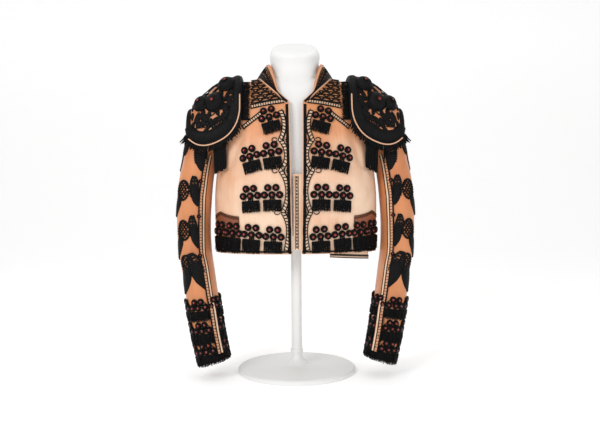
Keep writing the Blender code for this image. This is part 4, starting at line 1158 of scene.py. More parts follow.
def filled(surface, centre, length, width, turn, shape, lift=0.0008, rise=0.0022, rows=7, columns=12):
    """A raised leaf or petal on a surface: half-width width * shape(t) along its line, highest inside."""
    t, s = np.meshgrid(np.linspace(0, 1, columns), np.linspace(-1, 1, rows), indexing="ij")
    x, y = (t - 0.5) * length, s * width * shape(t)
    right = math.cos(turn) * x - math.sin(turn) * y
    up = math.sin(turn) * x + math.cos(turn) * y
    stepped = per_metre(surface, centre)
    a, b = centre[0] + right * stepped[0], centre[1] + up * stepped[1]
    high = lift + rise * np.sqrt(np.clip(1 - s ** 2, 0, 1)) * np.minimum(1, 4 * shape(t))
    return walled(surface.at(a, b, high), surface.at(a, b, -0.0004 + 0 * high), x, y)


def per_metre(surface, place):
    """How far each parameter goes in a metre of the surface at a place."""
    steps = [(line[-1] - line[0]) / 400 for line in surface.ranges]
    here = surface.at(*place)
    return [step / np.linalg.norm(surface.at(place[0] + step * (k == 0), place[1] + step * (k == 1)) - here)
            for k, step in enumerate(steps)]


def netting(surface, centre, half_long, half_wide, pitch, radius):
    """Crossed fine cords inside an oval: two sets of straight lines, each cut to the oval."""
    scales = np.array(per_metre(surface, centre))
    shapes = []
    for way in (0.9, -0.9):
        right, up = np.array([math.cos(way), math.sin(way)]), np.array([-math.sin(way), math.cos(way)])
        for offset in np.arange(-half_long, half_long, pitch):
            t = np.linspace(-half_long, half_long, 60)
            flat = up * offset + right * t[:, None]
            inside = (flat[:, 0] / half_wide) ** 2 + (flat[:, 1] / half_long) ** 2 < 0.95
            if inside.sum() < 4:
                continue
            a, b = (centre + flat[inside][::4] * scales).T
            shapes.append(cord(surface, a, b, radius, 0.0004, sides=4))
    return shapes


def ringed(surface, centre, half_wide, half_long, count, size):
    """Round knots in an oval ring on a surface."""
    scales = per_metre(surface, centre)
    turn = np.arange(count) * 2 * math.pi / count
    a = centre[0] + half_wide * np.cos(turn) * scales[0]
    b = centre[1] + half_long * np.sin(turn) * scales[1]
    centres, out = surface.at(a, b, 0.0005), surface.normal(a, b)
    side = surface.at(a, b + 0.004 * scales[1]) - surface.at(a, b)
    return stamped(KNOT, centres, side, out, size)


def petal_form(t):
    """A blunt petal, widest past its middle."""
    return np.sin(math.pi * t ** 0.75) ** 0.6


def flower(surface, centre, radius, petals, turn, lift=0.0008):
    """A flower of raised petals round a small ring."""
    shapes = []
    stepped = per_metre(surface, centre)
    for number in range(petals):
        angle = turn + number * 2 * math.pi / petals
        middle = (centre[0] + 0.58 * radius * math.cos(angle) * stepped[0],
                  centre[1] + 0.58 * radius * math.sin(angle) * stepped[1])
        shapes.append(filled(surface, middle, radius * 0.92, radius * 0.46, angle, petal_form,
                             lift, 0.0028, 5, 8))
    ring = turns(16)
    a = centre[0] + 0.2 * radius * np.cos(ring) * stepped[0]
    b = centre[1] + 0.2 * radius * np.sin(ring) * stepped[1]
    shapes.append(cord(surface, a, b, 0.0011, lift + 0.001, loop=True))
    return shapes


def leaf_form(t):
    """A pointed oval: full near its foot, drawn out to its tip."""
    return np.sin(math.pi * t ** 0.8) ** 0.8


def build_pads():
    """Shoulder pieces: padded peach ground, black rolls and rim, domes, leaves, net cords, piping and stones.
    """
    across, arch = np.meshgrid(np.linspace(0, 1, 32), np.linspace(-1, 1, 84), indexing="ij")
    edge = np.minimum(np.minimum(across, 1 - across) / 0.05, np.minimum(1 - arch, arch + 1) / 0.05)
    lift = -0.0008 * (1 - np.clip(edge, 0, 1)) ** 2
    ground = walled(pad.at(across, arch, lift), pad.at(across, arch, -PAD_THICK), across * 0.2, arch * 0.2)
    cushions = pair("shoulder_ground", [ground], copper_satin, ["shoulder_piece_{side}"])
    for cushion in cushions.values():
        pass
    work, red = [], []
    for seed, (place, width, rise, reach) in enumerate(PAD_ROLLS, start=1):
        work.append(pad_roll(place, width, rise, -reach, reach, seed))
    for across_at, arch_at, radius, high, petals in PAD_DOMES:
        for sign in (-1, 1):
            parts, centre = dome(across_at, sign * arch_at, radius, high, petals)
            work, red = work + parts, red + [centre]
    for sign in (-1, 1):
        for place, lift, radius in PAD_EDGE_CORDS:
            work.append(cord(pad, place, sign * np.linspace(0.02, 0.985, 50), radius, lift))
        rim = smooth_line(np.array(PAD_RIM) * (1, sign), 160)
        path, side, out = laid(pad, *rim.T, -0.0006)
        winding = 0.90 + 0.10 * np.abs(np.sin(np.linspace(0, PAD_RIM_TURNS * math.pi, 160)))
        work.append(swept(path, side, out, oval(*PAD_RIM_SIZE, 12), winding[None]))
        net = (PAD_NET[0], sign * PAD_NET[1])
        work += netting(pad, net, 0.0140, 0.0200, 0.0050, 0.0012)
        for reach, size in ((1.0, 1.0), (0.6, 0.8)):
            work.append(ringed(pad, net, 0.0185 * reach, 0.0130 * reach, 22, size))
        for across_at, arch_at, radius, petals in PAD_FLOWERS:
            work += flower(pad, (across_at, sign * arch_at), radius, petals, 0.3)
        for across_at, arch_at, length, width, turn in PAD_LEAVES:
            work.append(filled(pad, (across_at, sign * arch_at), length, width, sign * turn, leaf_form))
        for points in PAD_LINES:
            line = smooth_line(np.array(points) * (1, sign), 40)
            work.append(cord(pad, *line.T, 0.0012, 0.0012))
    pair("shoulder_work", work, black_cord)
    pair("shoulder_stones", red, garnet, sharp=20)
    lines = []
    for sign in (-1, 1):
        across, arch, lift = smooth_line(np.array(PAD_PIPING) * (1, sign, 1), 110).T
        lines.append(cord(pad, across, arch, 0.0015, lift))
    pair("shoulder_piping", lines, peach_cord)


def fringe_block(root, ahead, side, out, lengths, radius, seed, sway, rise, points=5):
    """Free fringe: strands leave roots along ahead, swing along side, and lie at random depths along out."""
    draw = np.random.default_rng(seed)
    count = len(lengths)
    share = np.linspace(0, 1, points)[None, :, None]
    phase = draw.uniform(0, 2 * math.pi, (count, 1, 1))
    swing = sway * share * np.sin(phase + share * draw.uniform(2, 7, (count, 1, 1)))
    depth = draw.uniform(*rise, (count, 1, 1))
    path = (root[:, None] + ahead[:, None] * (np.asarray(lengths)[:, None, None] * share)
            + side[:, None] * swing + out[:, None] * depth)
    forward = unit(np.gradient(path, axis=1))
    beside = unit(np.cross(forward, out[:, None]))
    taper = 1.0 - THREAD_TAPER * share[..., 0]
    return swept(path, beside, unit(np.cross(beside, forward)), circle(radius, 4), taper)


def build_pad_fringe():
    """Fringe round the lower edges of the shoulder pieces, and the straight inner fringe with its heading."""
    for end, sign in (("front", -1), ("back", 1)):
        threads = []
        for layer, (lift, count, spikes) in enumerate(PAD_FRINGE_LAYERS):
            draw = np.random.default_rng(40 + layer + (sign > 0) * 10)
            across = np.linspace(0.03, 0.985, count) + draw.uniform(-0.002, 0.002, count)
            root = pad.at(across, sign * 0.975, lift)
            spike = (across * spikes).astype(int)
            middle = (spike + 0.5) / spikes
            reach = PAD_FRINGE_LENGTH * draw.uniform(0.80, 1.22, spikes + 1)[spike]
            fan = np.clip((middle - 0.15) / 0.8, 0, 1)[:, None]
            outer_way, inner_way = np.array([0.75, sign * 0.20, -0.75]), np.array([-0.55, sign * 0.20, -0.90])
            away = unit(outer_way * fan + inner_way * (1 - fan))
            tip = pad.at(middle * 0.97 + 0.015, sign * 0.985, lift) + away * reach[:, None]
            mixed = root + (tip - root) * 0.72 + away * reach[:, None] * 0.28
            ahead, lengths = unit(mixed - root), np.linalg.norm(mixed - root, axis=1)
            out = pad.normal(across, sign * 0.985)
            side = unit(np.cross(ahead, out))
            lengths = lengths * (1 + draw.uniform(-0.20, 0.06, count))
            threads.append(fringe_block(root, ahead, side, out, lengths, 0.0013, 60 + layer, 0.0014,
                                        (0.0, 0.0024)))
        pair(f"shoulder_fringe_{end}", threads, black_thread, ["pad_fringe_" + end + "_{side}"])
        threads, heading = [], []
        low, high = INNER_FRINGE_ENDS
        for layer, count in enumerate(INNER_FRINGE_COUNTS):
            draw = np.random.default_rng(80 + layer + (sign > 0) * 10)
            height = np.linspace(low, high, count) + draw.uniform(-0.0003, 0.0003, count)
            arc = arc_to(0.1235, height, sign > 0)
            lift = 0.0012 + 0.002 * layer
            root = body.at(arc, height, lift)
            inner = body.at(arc_to(0.1035, height, sign > 0), height, lift)
            out = body.normal(arc, height)
            ahead = unit(inner - root)
            side = unit(np.cross(ahead, out))
            lengths = INNER_FRINGE_LENGTH * (1 + draw.uniform(-0.16, 0.12, count))
            threads.append(fringe_block(root, ahead, side, out, lengths, 0.0010, 90 + layer, 0.0016,
                                        (0.0, 0.0034)))
        height = np.linspace(low - 0.001, high + 0.001, 40)
        for x in INNER_HEADING:
            heading.append(cord(body, arc_to(x, height, sign > 0), height, 0.0020, 0.0006))
        pair(f"inner_fringe_{end}", threads, black_thread,
             ["pad_inner_fringe_" + end + "_{side}"])
        pair(f"inner_heading_{end}", heading, black_cord)


def build_tassels():
    """The tassel blocks under the front of the shoulder pieces: a wound heading and hanging threads."""
    threads, headings = [], []
    for layer, count in enumerate(TASSEL_COUNTS):
        draw = np.random.default_rng(120 + layer)
        across = np.linspace(TASSEL_START, TASSEL_END, count)
        root = pad.at(across, -0.985, -0.0065 - 0.0025 * layer)
        out = unit(pad.normal(across, -0.985) * (1, 1, 0))
        ahead = np.broadcast_to((0.0, 0.0, -1.0), root.shape)
        side = unit(np.cross(ahead, out))
        lengths = TASSEL_LENGTH * (1 + draw.uniform(-0.05, 0.04, count))
        threads.append(fringe_block(root, ahead, side, out, lengths, 0.0011, 130 + layer, sway=0.0012,
                                    rise=(-0.0008, 0.0012), points=9))
    across = np.linspace(TASSEL_START - 0.01, TASSEL_END + 0.01, 20)
    for row in range(3):
        points = pad.at(across, -0.985, -0.0068)[None] - (0, 0, 0.0155 + 0.0034 * row)
        out = unit(pad.normal(across, -0.985)[None] * (1, 1, 0))
        side = unit(np.cross(unit(np.gradient(points, axis=1)), out))
        headings.append(swept(points, side, out, circle(0.0017, 6)))
    pair("tassel_threads", threads, black_thread, ["tassel_{side}"])
    pair("tassel_heading", headings, black_cord)


KNOT = turned(((0.0024, 0.0), (0.0024, 0.0010), (0.0016, 0.0021), (0.0, 0.0025)), 6)
PAD_THICK, PAD_FILL = 0.0095, 0.55
PAD_ROLLS = ((0.070, 0.0102, 0.0066, 0.985), (0.935, 0.0078, 0.0058, 0.97))
PAD_EDGE_CORDS = ((0.0, -0.0092, 0.0020), (0.0, -0.0060, 0.0020), (0.0, -0.0028, 0.0018),
                  (0.006, 0.0, 0.0017))
PAD_DOMES = ((0.25, 0.36, 0.0200, 0.0165, 22), (0.46, 0.58, 0.0225, 0.0165, 24),
             (0.70, 0.44, 0.0190, 0.0155, 20))
PAD_RIM = ((0.095, 0.74), (0.112, 0.845), (0.155, 0.902), (0.22, 0.926), (0.36, 0.934), (0.55, 0.934),
           (0.74, 0.928), (0.85, 0.908), (0.902, 0.86), (0.922, 0.78))
PAD_RIM_SIZE, PAD_RIM_TURNS = (0.0152, 0.0060), 46
PAD_NET = (0.385, 0.845)
PAD_PIPING = ((0.012, 0.66, -0.0010), (0.002, 0.72, 0.0026), (0.000, 0.80, 0.0036), (0.004, 0.90, 0.0044),
              (0.035, 0.962, 0.0046), (0.10, 0.986, 0.0046), (0.25, 0.991, 0.0046), (0.45, 0.991, 0.0046),
              (0.65, 0.991, 0.0046), (0.80, 0.988, 0.0044), (0.90, 0.976, 0.0040))
# Where each flower and leaf sits, as (across, arch), and its sizes; a leaf's last number is its turn
PAD_FLOWERS = ((0.195, 0.755, 0.0195, 5), (0.705, 0.735, 0.0185, 5), (0.545, 0.815, 0.0120, 4),
               (0.20, 0.05, 0.0150, 6), (0.52, 0.10, 0.0150, 7), (0.80, 0.12, 0.0110, 6))
PAD_LEAVES = (
    (0.150, 0.545, 0.028, 0.0070, 2.2), (0.235, 0.575, 0.026, 0.0065, 1.0),
    (0.150, 0.885, 0.020, 0.0055, 2.5), (0.245, 0.885, 0.020, 0.0055, 0.7),
    (0.56, 0.700, 0.019, 0.0055, 1.2), (0.80, 0.860, 0.020, 0.0055, 2.4),
    (0.62, 0.875, 0.020, 0.0055, 0.7), (0.40, 0.745, 0.019, 0.0050, 1.9),
    (0.385, 0.20, 0.024, 0.0050, 0.6), (0.62, 0.27, 0.022, 0.0046, 2.5),
    (0.47, 0.80, 0.022, 0.0045, 0.2), (0.60, 0.76, 0.020, 0.0042, 2.6),
    (0.86, 0.36, 0.020, 0.0048, 1.5), (0.86, 0.60, 0.022, 0.0050, 1.6),
    (0.320, 0.700, 0.026, 0.0060, 0.2), (0.185, 0.640, 0.026, 0.0062, 0.1),
    (0.165, 0.420, 0.028, 0.0060, 1.8), (0.300, 0.800, 0.018, 0.0050, 2.2),
    (0.580, 0.735, 0.022, 0.0055, 0.4), (0.660, 0.640, 0.024, 0.0058, 1.9),
    (0.780, 0.650, 0.022, 0.0052, 0.9), (0.480, 0.885, 0.022, 0.0050, 0.2),
    (0.850, 0.780, 0.020, 0.0052, 1.2), (0.345, 0.480, 0.022, 0.0050, 2.1),
    (0.600, 0.440, 0.022, 0.0050, 1.0), (0.460, 0.360, 0.024, 0.0055, 0.4),
)
PAD_LINES = (((0.14, 0.30), (0.17, 0.46), (0.205, 0.60), (0.25, 0.66)),
             ((0.34, 0.30), (0.42, 0.22), (0.50, 0.24), (0.58, 0.30)),
             ((0.42, 0.72), (0.50, 0.74), (0.56, 0.72), (0.64, 0.72)),
             ((0.12, 0.80), (0.20, 0.83), (0.32, 0.845), (0.44, 0.83), (0.56, 0.84), (0.70, 0.83),
              (0.86, 0.82)),
             ((0.12, 0.12), (0.20, 0.16), (0.30, 0.10), (0.40, 0.06), (0.60, 0.05), (0.72, 0.16),
              (0.88, 0.12)))
PAD_FRINGE_LENGTH = 0.0180
PAD_FRINGE_LAYERS = ((-0.0020, 120, 30), (0.0004, 124, 27))
INNER_FRINGE_LENGTH, INNER_FRINGE_ENDS, INNER_FRINGE_COUNTS = 0.0215, (0.592, 0.6760), (84, 86)
INNER_HEADING = (0.1215, 0.1250, 0.1285)
TASSEL_START, TASSEL_END, TASSEL_LENGTH, TASSEL_COUNTS = 0.275, 0.485, 0.070, (30, 31)
build_pads()
build_pad_fringe()
build_tassels()


def braid_arc(height):
    """How far the ladder braid's middle lies from the centre line: scallops between its peaks."""
    knots = BRAID.knots
    low = np.clip(np.searchsorted(knots, height, side="right") - 1, 0, len(knots) - 2)
    part = (height - knots[low]) / (knots[low + 1] - knots[low])
    peak = BRAID.straight("peak", height)
    dip = np.sin(math.pi * np.clip(part, 0, 1)) ** 0.8
    return peak + BRAID_SWING * (1 - dip) + (BRAID.column("trough_above")[low] - peak) * dip


def front_line(points, count):
    """A smooth line through (x, height) points of the left front, as arc and height."""
    line = smooth_line(points, count)
    return arc_to(line[:, 0], line[:, 1]), line[:, 1]


def ribbon(surface, a, b, half_width, low, high):
    """A flat ribbon along a line on a surface, between two lifts."""
    path, side, out = laid(surface, a, b)
    across = np.array([-half_width, 0.0, half_width])[None, :, None]
    flat = path[0][:, None] + side[0][:, None] * across
    along = lengths_along(path[0])[:, None] + 0 * across[..., 0]
    raised = out[0][:, None]
    return walled(flat + raised * high, flat + raised * low, along, across[..., 0] + 0 * along)


def ladder(surface, a, b, half_width, pitch, lift, skew, rail, rung):
    """A ladder braid: pale ribbon, a dark cord along each side and dashes across it."""
    dark = rails(surface, a, b, half_width, rail, lift)
    dark.append(rungs(surface, a, b, half_width * 0.62, pitch, rung, lift + 0.0004, skew))
    return dark, [ribbon(surface, a, b, half_width, lift - 0.0002, lift + 0.0005)]


def build_front_edges():
    """Piping, black edge band, the scalloped ladder braid, and its knots and loops."""
    height = np.linspace(HEM_HEIGHT + 0.001, NECK_FRONT_HEIGHT - 0.001, 130)
    edge = front_edge(height)
    piping = [cord(body, edge + 0.0010, height, 0.00125, -0.0004)]
    dark = [cord(body, edge + place, height, 0.00118, 0.0001) for place in EDGE_CORDS]
    height = np.linspace(BRAID_LOW, BRAID.knots[-1], 260)
    line = braid_arc(height)
    lace, pale = ladder(body, line, height, 0.0042, 0.0074, 0.0005, 0.45, 0.0012, 0.0014)
    inside = np.minimum(line - 0.0056, front_edge(height) + 0.0104 + 0.003 * (line - 0.019) / 0.015)
    lace.append(cord(body, inside, height, 0.0009, 0.0004))
    for peak_height in BRAID.knots[1:-1]:
        start = float(braid_arc(peak_height))
        ring = np.linspace(0.1 * math.pi, 1.9 * math.pi, 22)
        reach = LOOP_RADIUS * (1.25 - 0.25 * np.abs(np.cos(ring / 2)))
        a = start + 0.0052 + LOOP_RADIUS * 1.25 - reach * np.cos(ring)
        lace.append(cord(body, a, peak_height + 0.85 * reach * np.sin(ring), 0.0010, 0.0006))
        corner = float(front_edge(peak_height)) + 0.0092
        knot = np.array([[corner, peak_height + step] for step in (0.0, 0.0042, -0.0042)])
        centre, out = body.at(knot[:, 0], knot[:, 1]), body.normal(knot[:, 0], knot[:, 1])
        lace.append(stamped(DOT, centre, body.at(knot[:, 0] + 0.002, knot[:, 1]) - centre, out,
                            np.array([1.0, 0.6, 0.6])))
    pair("edge_piping", piping, peach_cord)
    pair("edge_cords", dark, black_thread)
    pair("ladder_braid", lace, black_cord, ["edge_braid_{side}"])
    pair("ladder_ground", pale, pale_ribbon)


def inside_neck(x, height):
    """Whether places lie on the front, clear of the neckline's edge."""
    return x > BODY.straight("edge_x", height) + 0.0025


def build_yoke():
    """Two straight ladder bands below the collar and rows of cord scales above them."""
    dark, pale = [], []
    for points, half_width in YOKE_BANDS:
        a, b = front_line(points, 40)
        lace, ground = ladder(body, a, b, half_width, 0.0056, 0.0005, 0.0, 0.0013, 0.0012)
        dark, pale = dark + lace, pale + ground
    for row in range(SCALE_ROWS):
        x = np.arange(0.028, YOKE_END, 0.0009)
        base = 0.6400 + SCALE_STEP * row - 0.15 * (x - 0.03) * (1 - row / SCALE_ROWS)
        x, base = x[inside_neck(x, base)], base[inside_neck(x, base)]
        shape = np.abs(np.sin(math.pi * ((x - YOKE_END) / SCALE_PITCH + 0.5 * (row % 2))))
        for grown, radius in ((1.0, 0.0014), (0.60, 0.0009)):
            height = np.minimum(base + SCALE_STEP * 1.25 * grown * shape ** 0.8, YOKE_TOP)
            kept = inside_neck(x, height)
            arc = arc_to(x[kept], height[kept])
            dark.append(cord(body, arc, height[kept], radius, 0.0003, sides=5))
        base = np.minimum(base, YOKE_TOP)
        dark.append(cord(body, arc_to(x, base), base, 0.0014, 0.0002, sides=5))
    pair("yoke_cords", dark, black_cord)
    pair("yoke_ribbon", pale, pale_ribbon)


def build_pockets():
    """The deeper satin of the pocket, the cords of its welt, and the hem's piping and cords."""
    share = np.linspace(0, 1, 40)
    start, end = (float(arc_to(x, 0.3745)) for x in POCKET_ENDS)
    arc = start + (end - start) * share
    top = 0.3725 + 0.0105 * np.where(share < 0.66, (share / 0.66) ** 1.7, ((1 - share) / 0.34) ** 0.9)
    rows = np.linspace(0, 1, 12)
    height = POCKET_FOOT + (top[None] - POCKET_FOOT) * rows[:, None]
    wide = np.broadcast_to(arc[None], height.shape)
    patch = walled(body.at(wide, height, 0.00045), body.at(wide, height, -0.0002), wide, height)
    pair("pocket_satin", [patch], pocket_satin, ["pocket_welt_{side}"])
    cords = [cord(body, arc, top + step, radius, 0.0004) for step, radius in WELT_CORDS]
    cords.append(cord(body, start, [top[0], 0.318], 0.0009, 0.0003))
    pair("pocket_cords", cords, brown_cord)
    end = float(arc_to(0.1879, HEM_HEIGHT + 0.002))
    arc = np.linspace(float(arc_to(0.0107, HEM_HEIGHT)), end, 120)
    piping, *cords = (cord(body, arc, HEM_HEIGHT + rise, radius, lift) for rise, radius, lift in HEM_CORDS)
    pair("hem_piping", [piping], peach_cord)
    pair("hem_cords", cords, black_thread)


def under_cloth(name, arc, height, solid):
    """A thin strip of cloth a little inside the body's surface."""
    wall = walled(body.at(arc, height, UNDER_LIFT + 0.0012), body.at(arc, height, UNDER_LIFT), arc, height)
    return piece(name, [wall], peach_satin, [solid])


def build_under_front():
    """The underlap behind the left edge, with its dashes, and the lining tab below the left hem."""
    arc, height = np.meshgrid(np.linspace(*UNDERLAP_ARC, 12), np.linspace(*UNDERLAP_HEIGHT, 60), indexing="ij")
    cloth = under_cloth("underlap_cloth", arc, height, "front_underlap")
    line = np.linspace(0.300, 0.4665, 60)
    marks = [cord(body, place, line, 0.0007, UNDER_LIFT + 0.0011) for place in (-0.0035, 0.0035)]
    for middle in np.arange(0.303, 0.464, 0.0075):
        marks.append(cord(body, 0.0, np.linspace(middle, middle + 0.0045, 4), 0.0016, UNDER_LIFT + 0.0010))
    piece("underlap_dashes", marks, black_cord)
    start, end = (float(arc_to(x, HEM_HEIGHT)) for x in TAB_ENDS)
    share = np.linspace(0, 1, 50)
    low = TAB_LOW + 0.008 * (1 - share)
    rows = np.linspace(0, 1, 8)[:, None]
    height = low[None] + (TAB_TOP - low[None]) * rows
    arc = np.broadcast_to((start + (end - start) * share)[None], height.shape)
    tab = under_cloth("hem_tab_cloth", arc, height, "hem_tab")
    lines = [cord(body, arc[0], low + rise, 0.0011, UNDER_LIFT + 0.0010) for rise in TAB_CORDS]
    piece("hem_tab_cords", lines, black_cord)


DOT = turned(((0.0022, 0.0), (0.0021, 0.0009), (0.0012, 0.0016), (0.0, 0.0018)), 8)
BRAID_LOW = 0.296
LOOP_RADIUS = 0.0052
BRAID_SWING = 0.0022
EDGE_CORDS = (0.0034, 0.0055, 0.0076)
YOKE_BANDS = ((((0.0260, 0.6335), (0.0480, 0.6310), (0.0700, 0.6275), (0.1015, 0.6215)), 0.0042),
              (((0.0680, 0.6150), (0.0810, 0.6040), (0.0960, 0.5925), (0.1200, 0.5745)), 0.0040))
YOKE_END, YOKE_TOP = 0.1010, 0.6872
SCALE_ROWS, SCALE_STEP, SCALE_PITCH = 8, 0.0066, 0.0215
UNDER_LIFT = -0.0055
UNDERLAP_ARC, UNDERLAP_HEIGHT = (-0.007, 0.024), (0.298, 0.470)
TAB_ENDS, TAB_LOW, TAB_TOP, TAB_CORDS = (0.075, 0.1695), 0.273, 0.302, (0.0014, 0.0060, 0.0084)
HEM_CORDS = ((0.0012, 0.0012, -0.0003), (0.0046, 0.0010, 0.0002), (0.0068, 0.0010, 0.0002))
POCKET_FOOT, POCKET_ENDS = 0.3010, (0.130, 0.186)
WELT_CORDS = ((0.0022, 0.0012), (-0.0004, 0.0008), (-0.0030, 0.0012))
build_front_edges()
build_yoke()
build_pockets()
build_under_front()


def metric_line(surface, points, count):
    """A smooth line through rows of (a, b, ...), in metres on the surface, and its scales."""
    points = np.asarray(points, dtype=float)
    scales = np.array(per_metre(surface, points[:, :2].mean(axis=0)))
    flat = points.copy()
    flat[:, :2] = points[:, :2] / scales
    return smooth_line(flat, count), scales


def beside_line(line):
    """Flat unit steps to the side of a line whose first two columns are its places."""
    ahead = unit(np.gradient(line[:, :2], axis=0))
    return np.stack([-ahead[:, 1], ahead[:, 0]], axis=1)


def applique(surface, points, start=0.0):
    """A raised leaf along a line of (a, b, half width), from a share of its length on.

    It is highest along its middle, by the root of 1 - across^2, and ribbed by a cosine along its length.
    """
    line, scales = metric_line(surface, points, 36)
    line = line[int(start * 36):]
    across = np.linspace(-1, 1, 7)[None]
    wide = np.maximum(line[:, 2:], 0.0003)
    flat = line[:, None, :2] + beside_line(line)[:, None] * (across * wide)[..., None]
    a, b = flat[..., 0] * scales[0], flat[..., 1] * scales[1]
    rib = 0.0005 * np.cos(np.arange(len(line)) * 1.9)[:, None] * (1 - np.abs(across))
    high = 0.0006 + 0.0024 * np.sqrt(1 - across ** 2) * np.minimum(1, wide / 0.003) + rib
    return walled(surface.at(a, b, high), surface.at(a, b, -0.0005 + 0 * high), flat[..., 0], flat[..., 1])


def lattice(surface, points, share, weaves, radius):
    """Cords that cross as sines from edge to edge of a leaf, its edges and its rib, over its first share."""
    line, scales = metric_line(surface, points, 110)
    line = line[:int(110 * share)]
    beside = beside_line(line)
    angle = np.linspace(0, weaves * 2 * math.pi, len(line))
    shapes = []
    for weave in (np.sin(angle), -np.sin(angle), 0 * angle, 0.97 + 0 * angle, -0.97 + 0 * angle):
        a, b = ((line[:, :2] + beside * (weave * line[:, 2] * 0.94)[:, None]) * scales).T
        shapes.append(cord(surface, a, b, radius, 0.0006, sides=4))
    return shapes


def edge_beads(surface, points, share, pitch, size):
    """Small round knots along both edges of a leaf, over the first share of its length."""
    line, scales = metric_line(surface, points, 120)
    line = line[:int(120 * share)]
    beside = beside_line(line)
    ends = [line[:, :2] + sign * beside * line[:, 2:] for sign in (-1, 1)]
    outline = np.vstack([ends[0][::-1], ends[1]])
    length = lengths_along(outline)
    places = np.arange(0, length[-1], pitch)
    a, b = (np.interp(places, length, outline[:, axis]) * scales[axis] for axis in range(2))
    centres, out = surface.at(a, b, 0.0006), surface.normal(a, b)
    return stamped(KNOT, centres, surface.at(a, b + 0.01 * scales[1]) - centres, out, size)


def build_sleeve_leaves():
    """Black leaves, netted heads and single beads down the front and back of each sleeve."""
    work, red = [], []
    for front in (1, -1):
        def placed(rows):
            """Leaf rows given as (degrees round, height, half width), on the front or the back."""
            return [(front * math.radians(turn), float(run_at(height)), wide) for turn, height, wide in rows]
        for rows in LEAVES:
            points = placed(rows)
            work.append(applique(sleeve, points, start=0.36))
            work += lattice(sleeve, points, 0.46, 2.2, 0.0018)
            work.append(edge_beads(sleeve, points, 0.62, 0.0042, 0.95))
        for rows in NETTED:
            points = placed(rows)
            work.append(applique(sleeve, points[2:]))
            head = points[1]
            work += netting(sleeve, head[:2], 0.0215, 0.0160, 0.0066, 0.0014)
            ring = turns(23)
            scales = per_metre(sleeve, head[:2])
            for reach, size in ((1.0, 1.25), (0.55, 0.6)):
                a = head[0] + 0.0162 * reach * np.cos(ring) * scales[0]
                b = head[1] + 0.0222 * reach * np.sin(ring) * scales[1]
                centres, out = sleeve.at(a, b, 0.0005), sleeve.normal(a, b)
                work.append(stamped(KNOT, centres, sleeve.at(a, b + 0.2) - centres, out, size))
        for turn, height in SLEEVE_BEADS:
            black, stone = rosettes(sleeve, [(front * math.radians(turn), float(run_at(height)))], 0.62)
            work.append(black)
            red.append(stone)
    pair("sleeve_leaves", work, black_cord)
    pair("sleeve_stones", red, garnet, sharp=20)


def build_bands():
    """The band down the front sleeve seam: cords, a ladder of brown dashes and a pale satin strip."""
    run = np.linspace(BAND_START, CUFF_RUN - 0.15, 170)
    lift = 0.0010 + 0.0046 * np.clip((run - run_at(0.190)) / 0.5, 0, 1)
    dark, brown, pale, warm = [], [], [], []
    for offset, radius in BAND_CORDS:
        dark.append(cord(sleeve, SEAM_TURN + offset / SLEEVE_RADIUS, run, radius, lift))
    share = np.linspace(-1, 1, 5)[None, :, None]
    for (offset, half_width, swelling), group in zip(BAND_STRIPS, (warm, pale)):
        path, side, out = laid(sleeve, SEAM_TURN + offset / SLEEVE_RADIUS, run, lift)
        across, swell = share * half_width, swelling * (1 - share ** 2)
        flat = path[0][:, None] + side[0][:, None] * across
        top, low = flat + out[0][:, None] * (0.0004 + swell), flat - out[0][:, None] * 0.0008
        u = (run * RUN_LENGTH)[:, None] + 0 * across[..., 0]
        group.append(walled(top, low, u, across[..., 0] + 0 * u))
    ladder_turn = SEAM_TURN + BAND_STRIPS[0][0] / SLEEVE_RADIUS
    brown.append(rungs(sleeve, ladder_turn, run, 0.0030, 0.0068, 0.0009, lift + 0.0005, 0.15))
    pair("sleeve_band_cords", dark, black_cord, ["sleeve_band_{side}"])
    pair("sleeve_band_dashes", brown, brown_cord)
    pair("sleeve_band_satin", pale, pale_ribbon)
    pair("sleeve_band_ground", warm, band_ribbon)


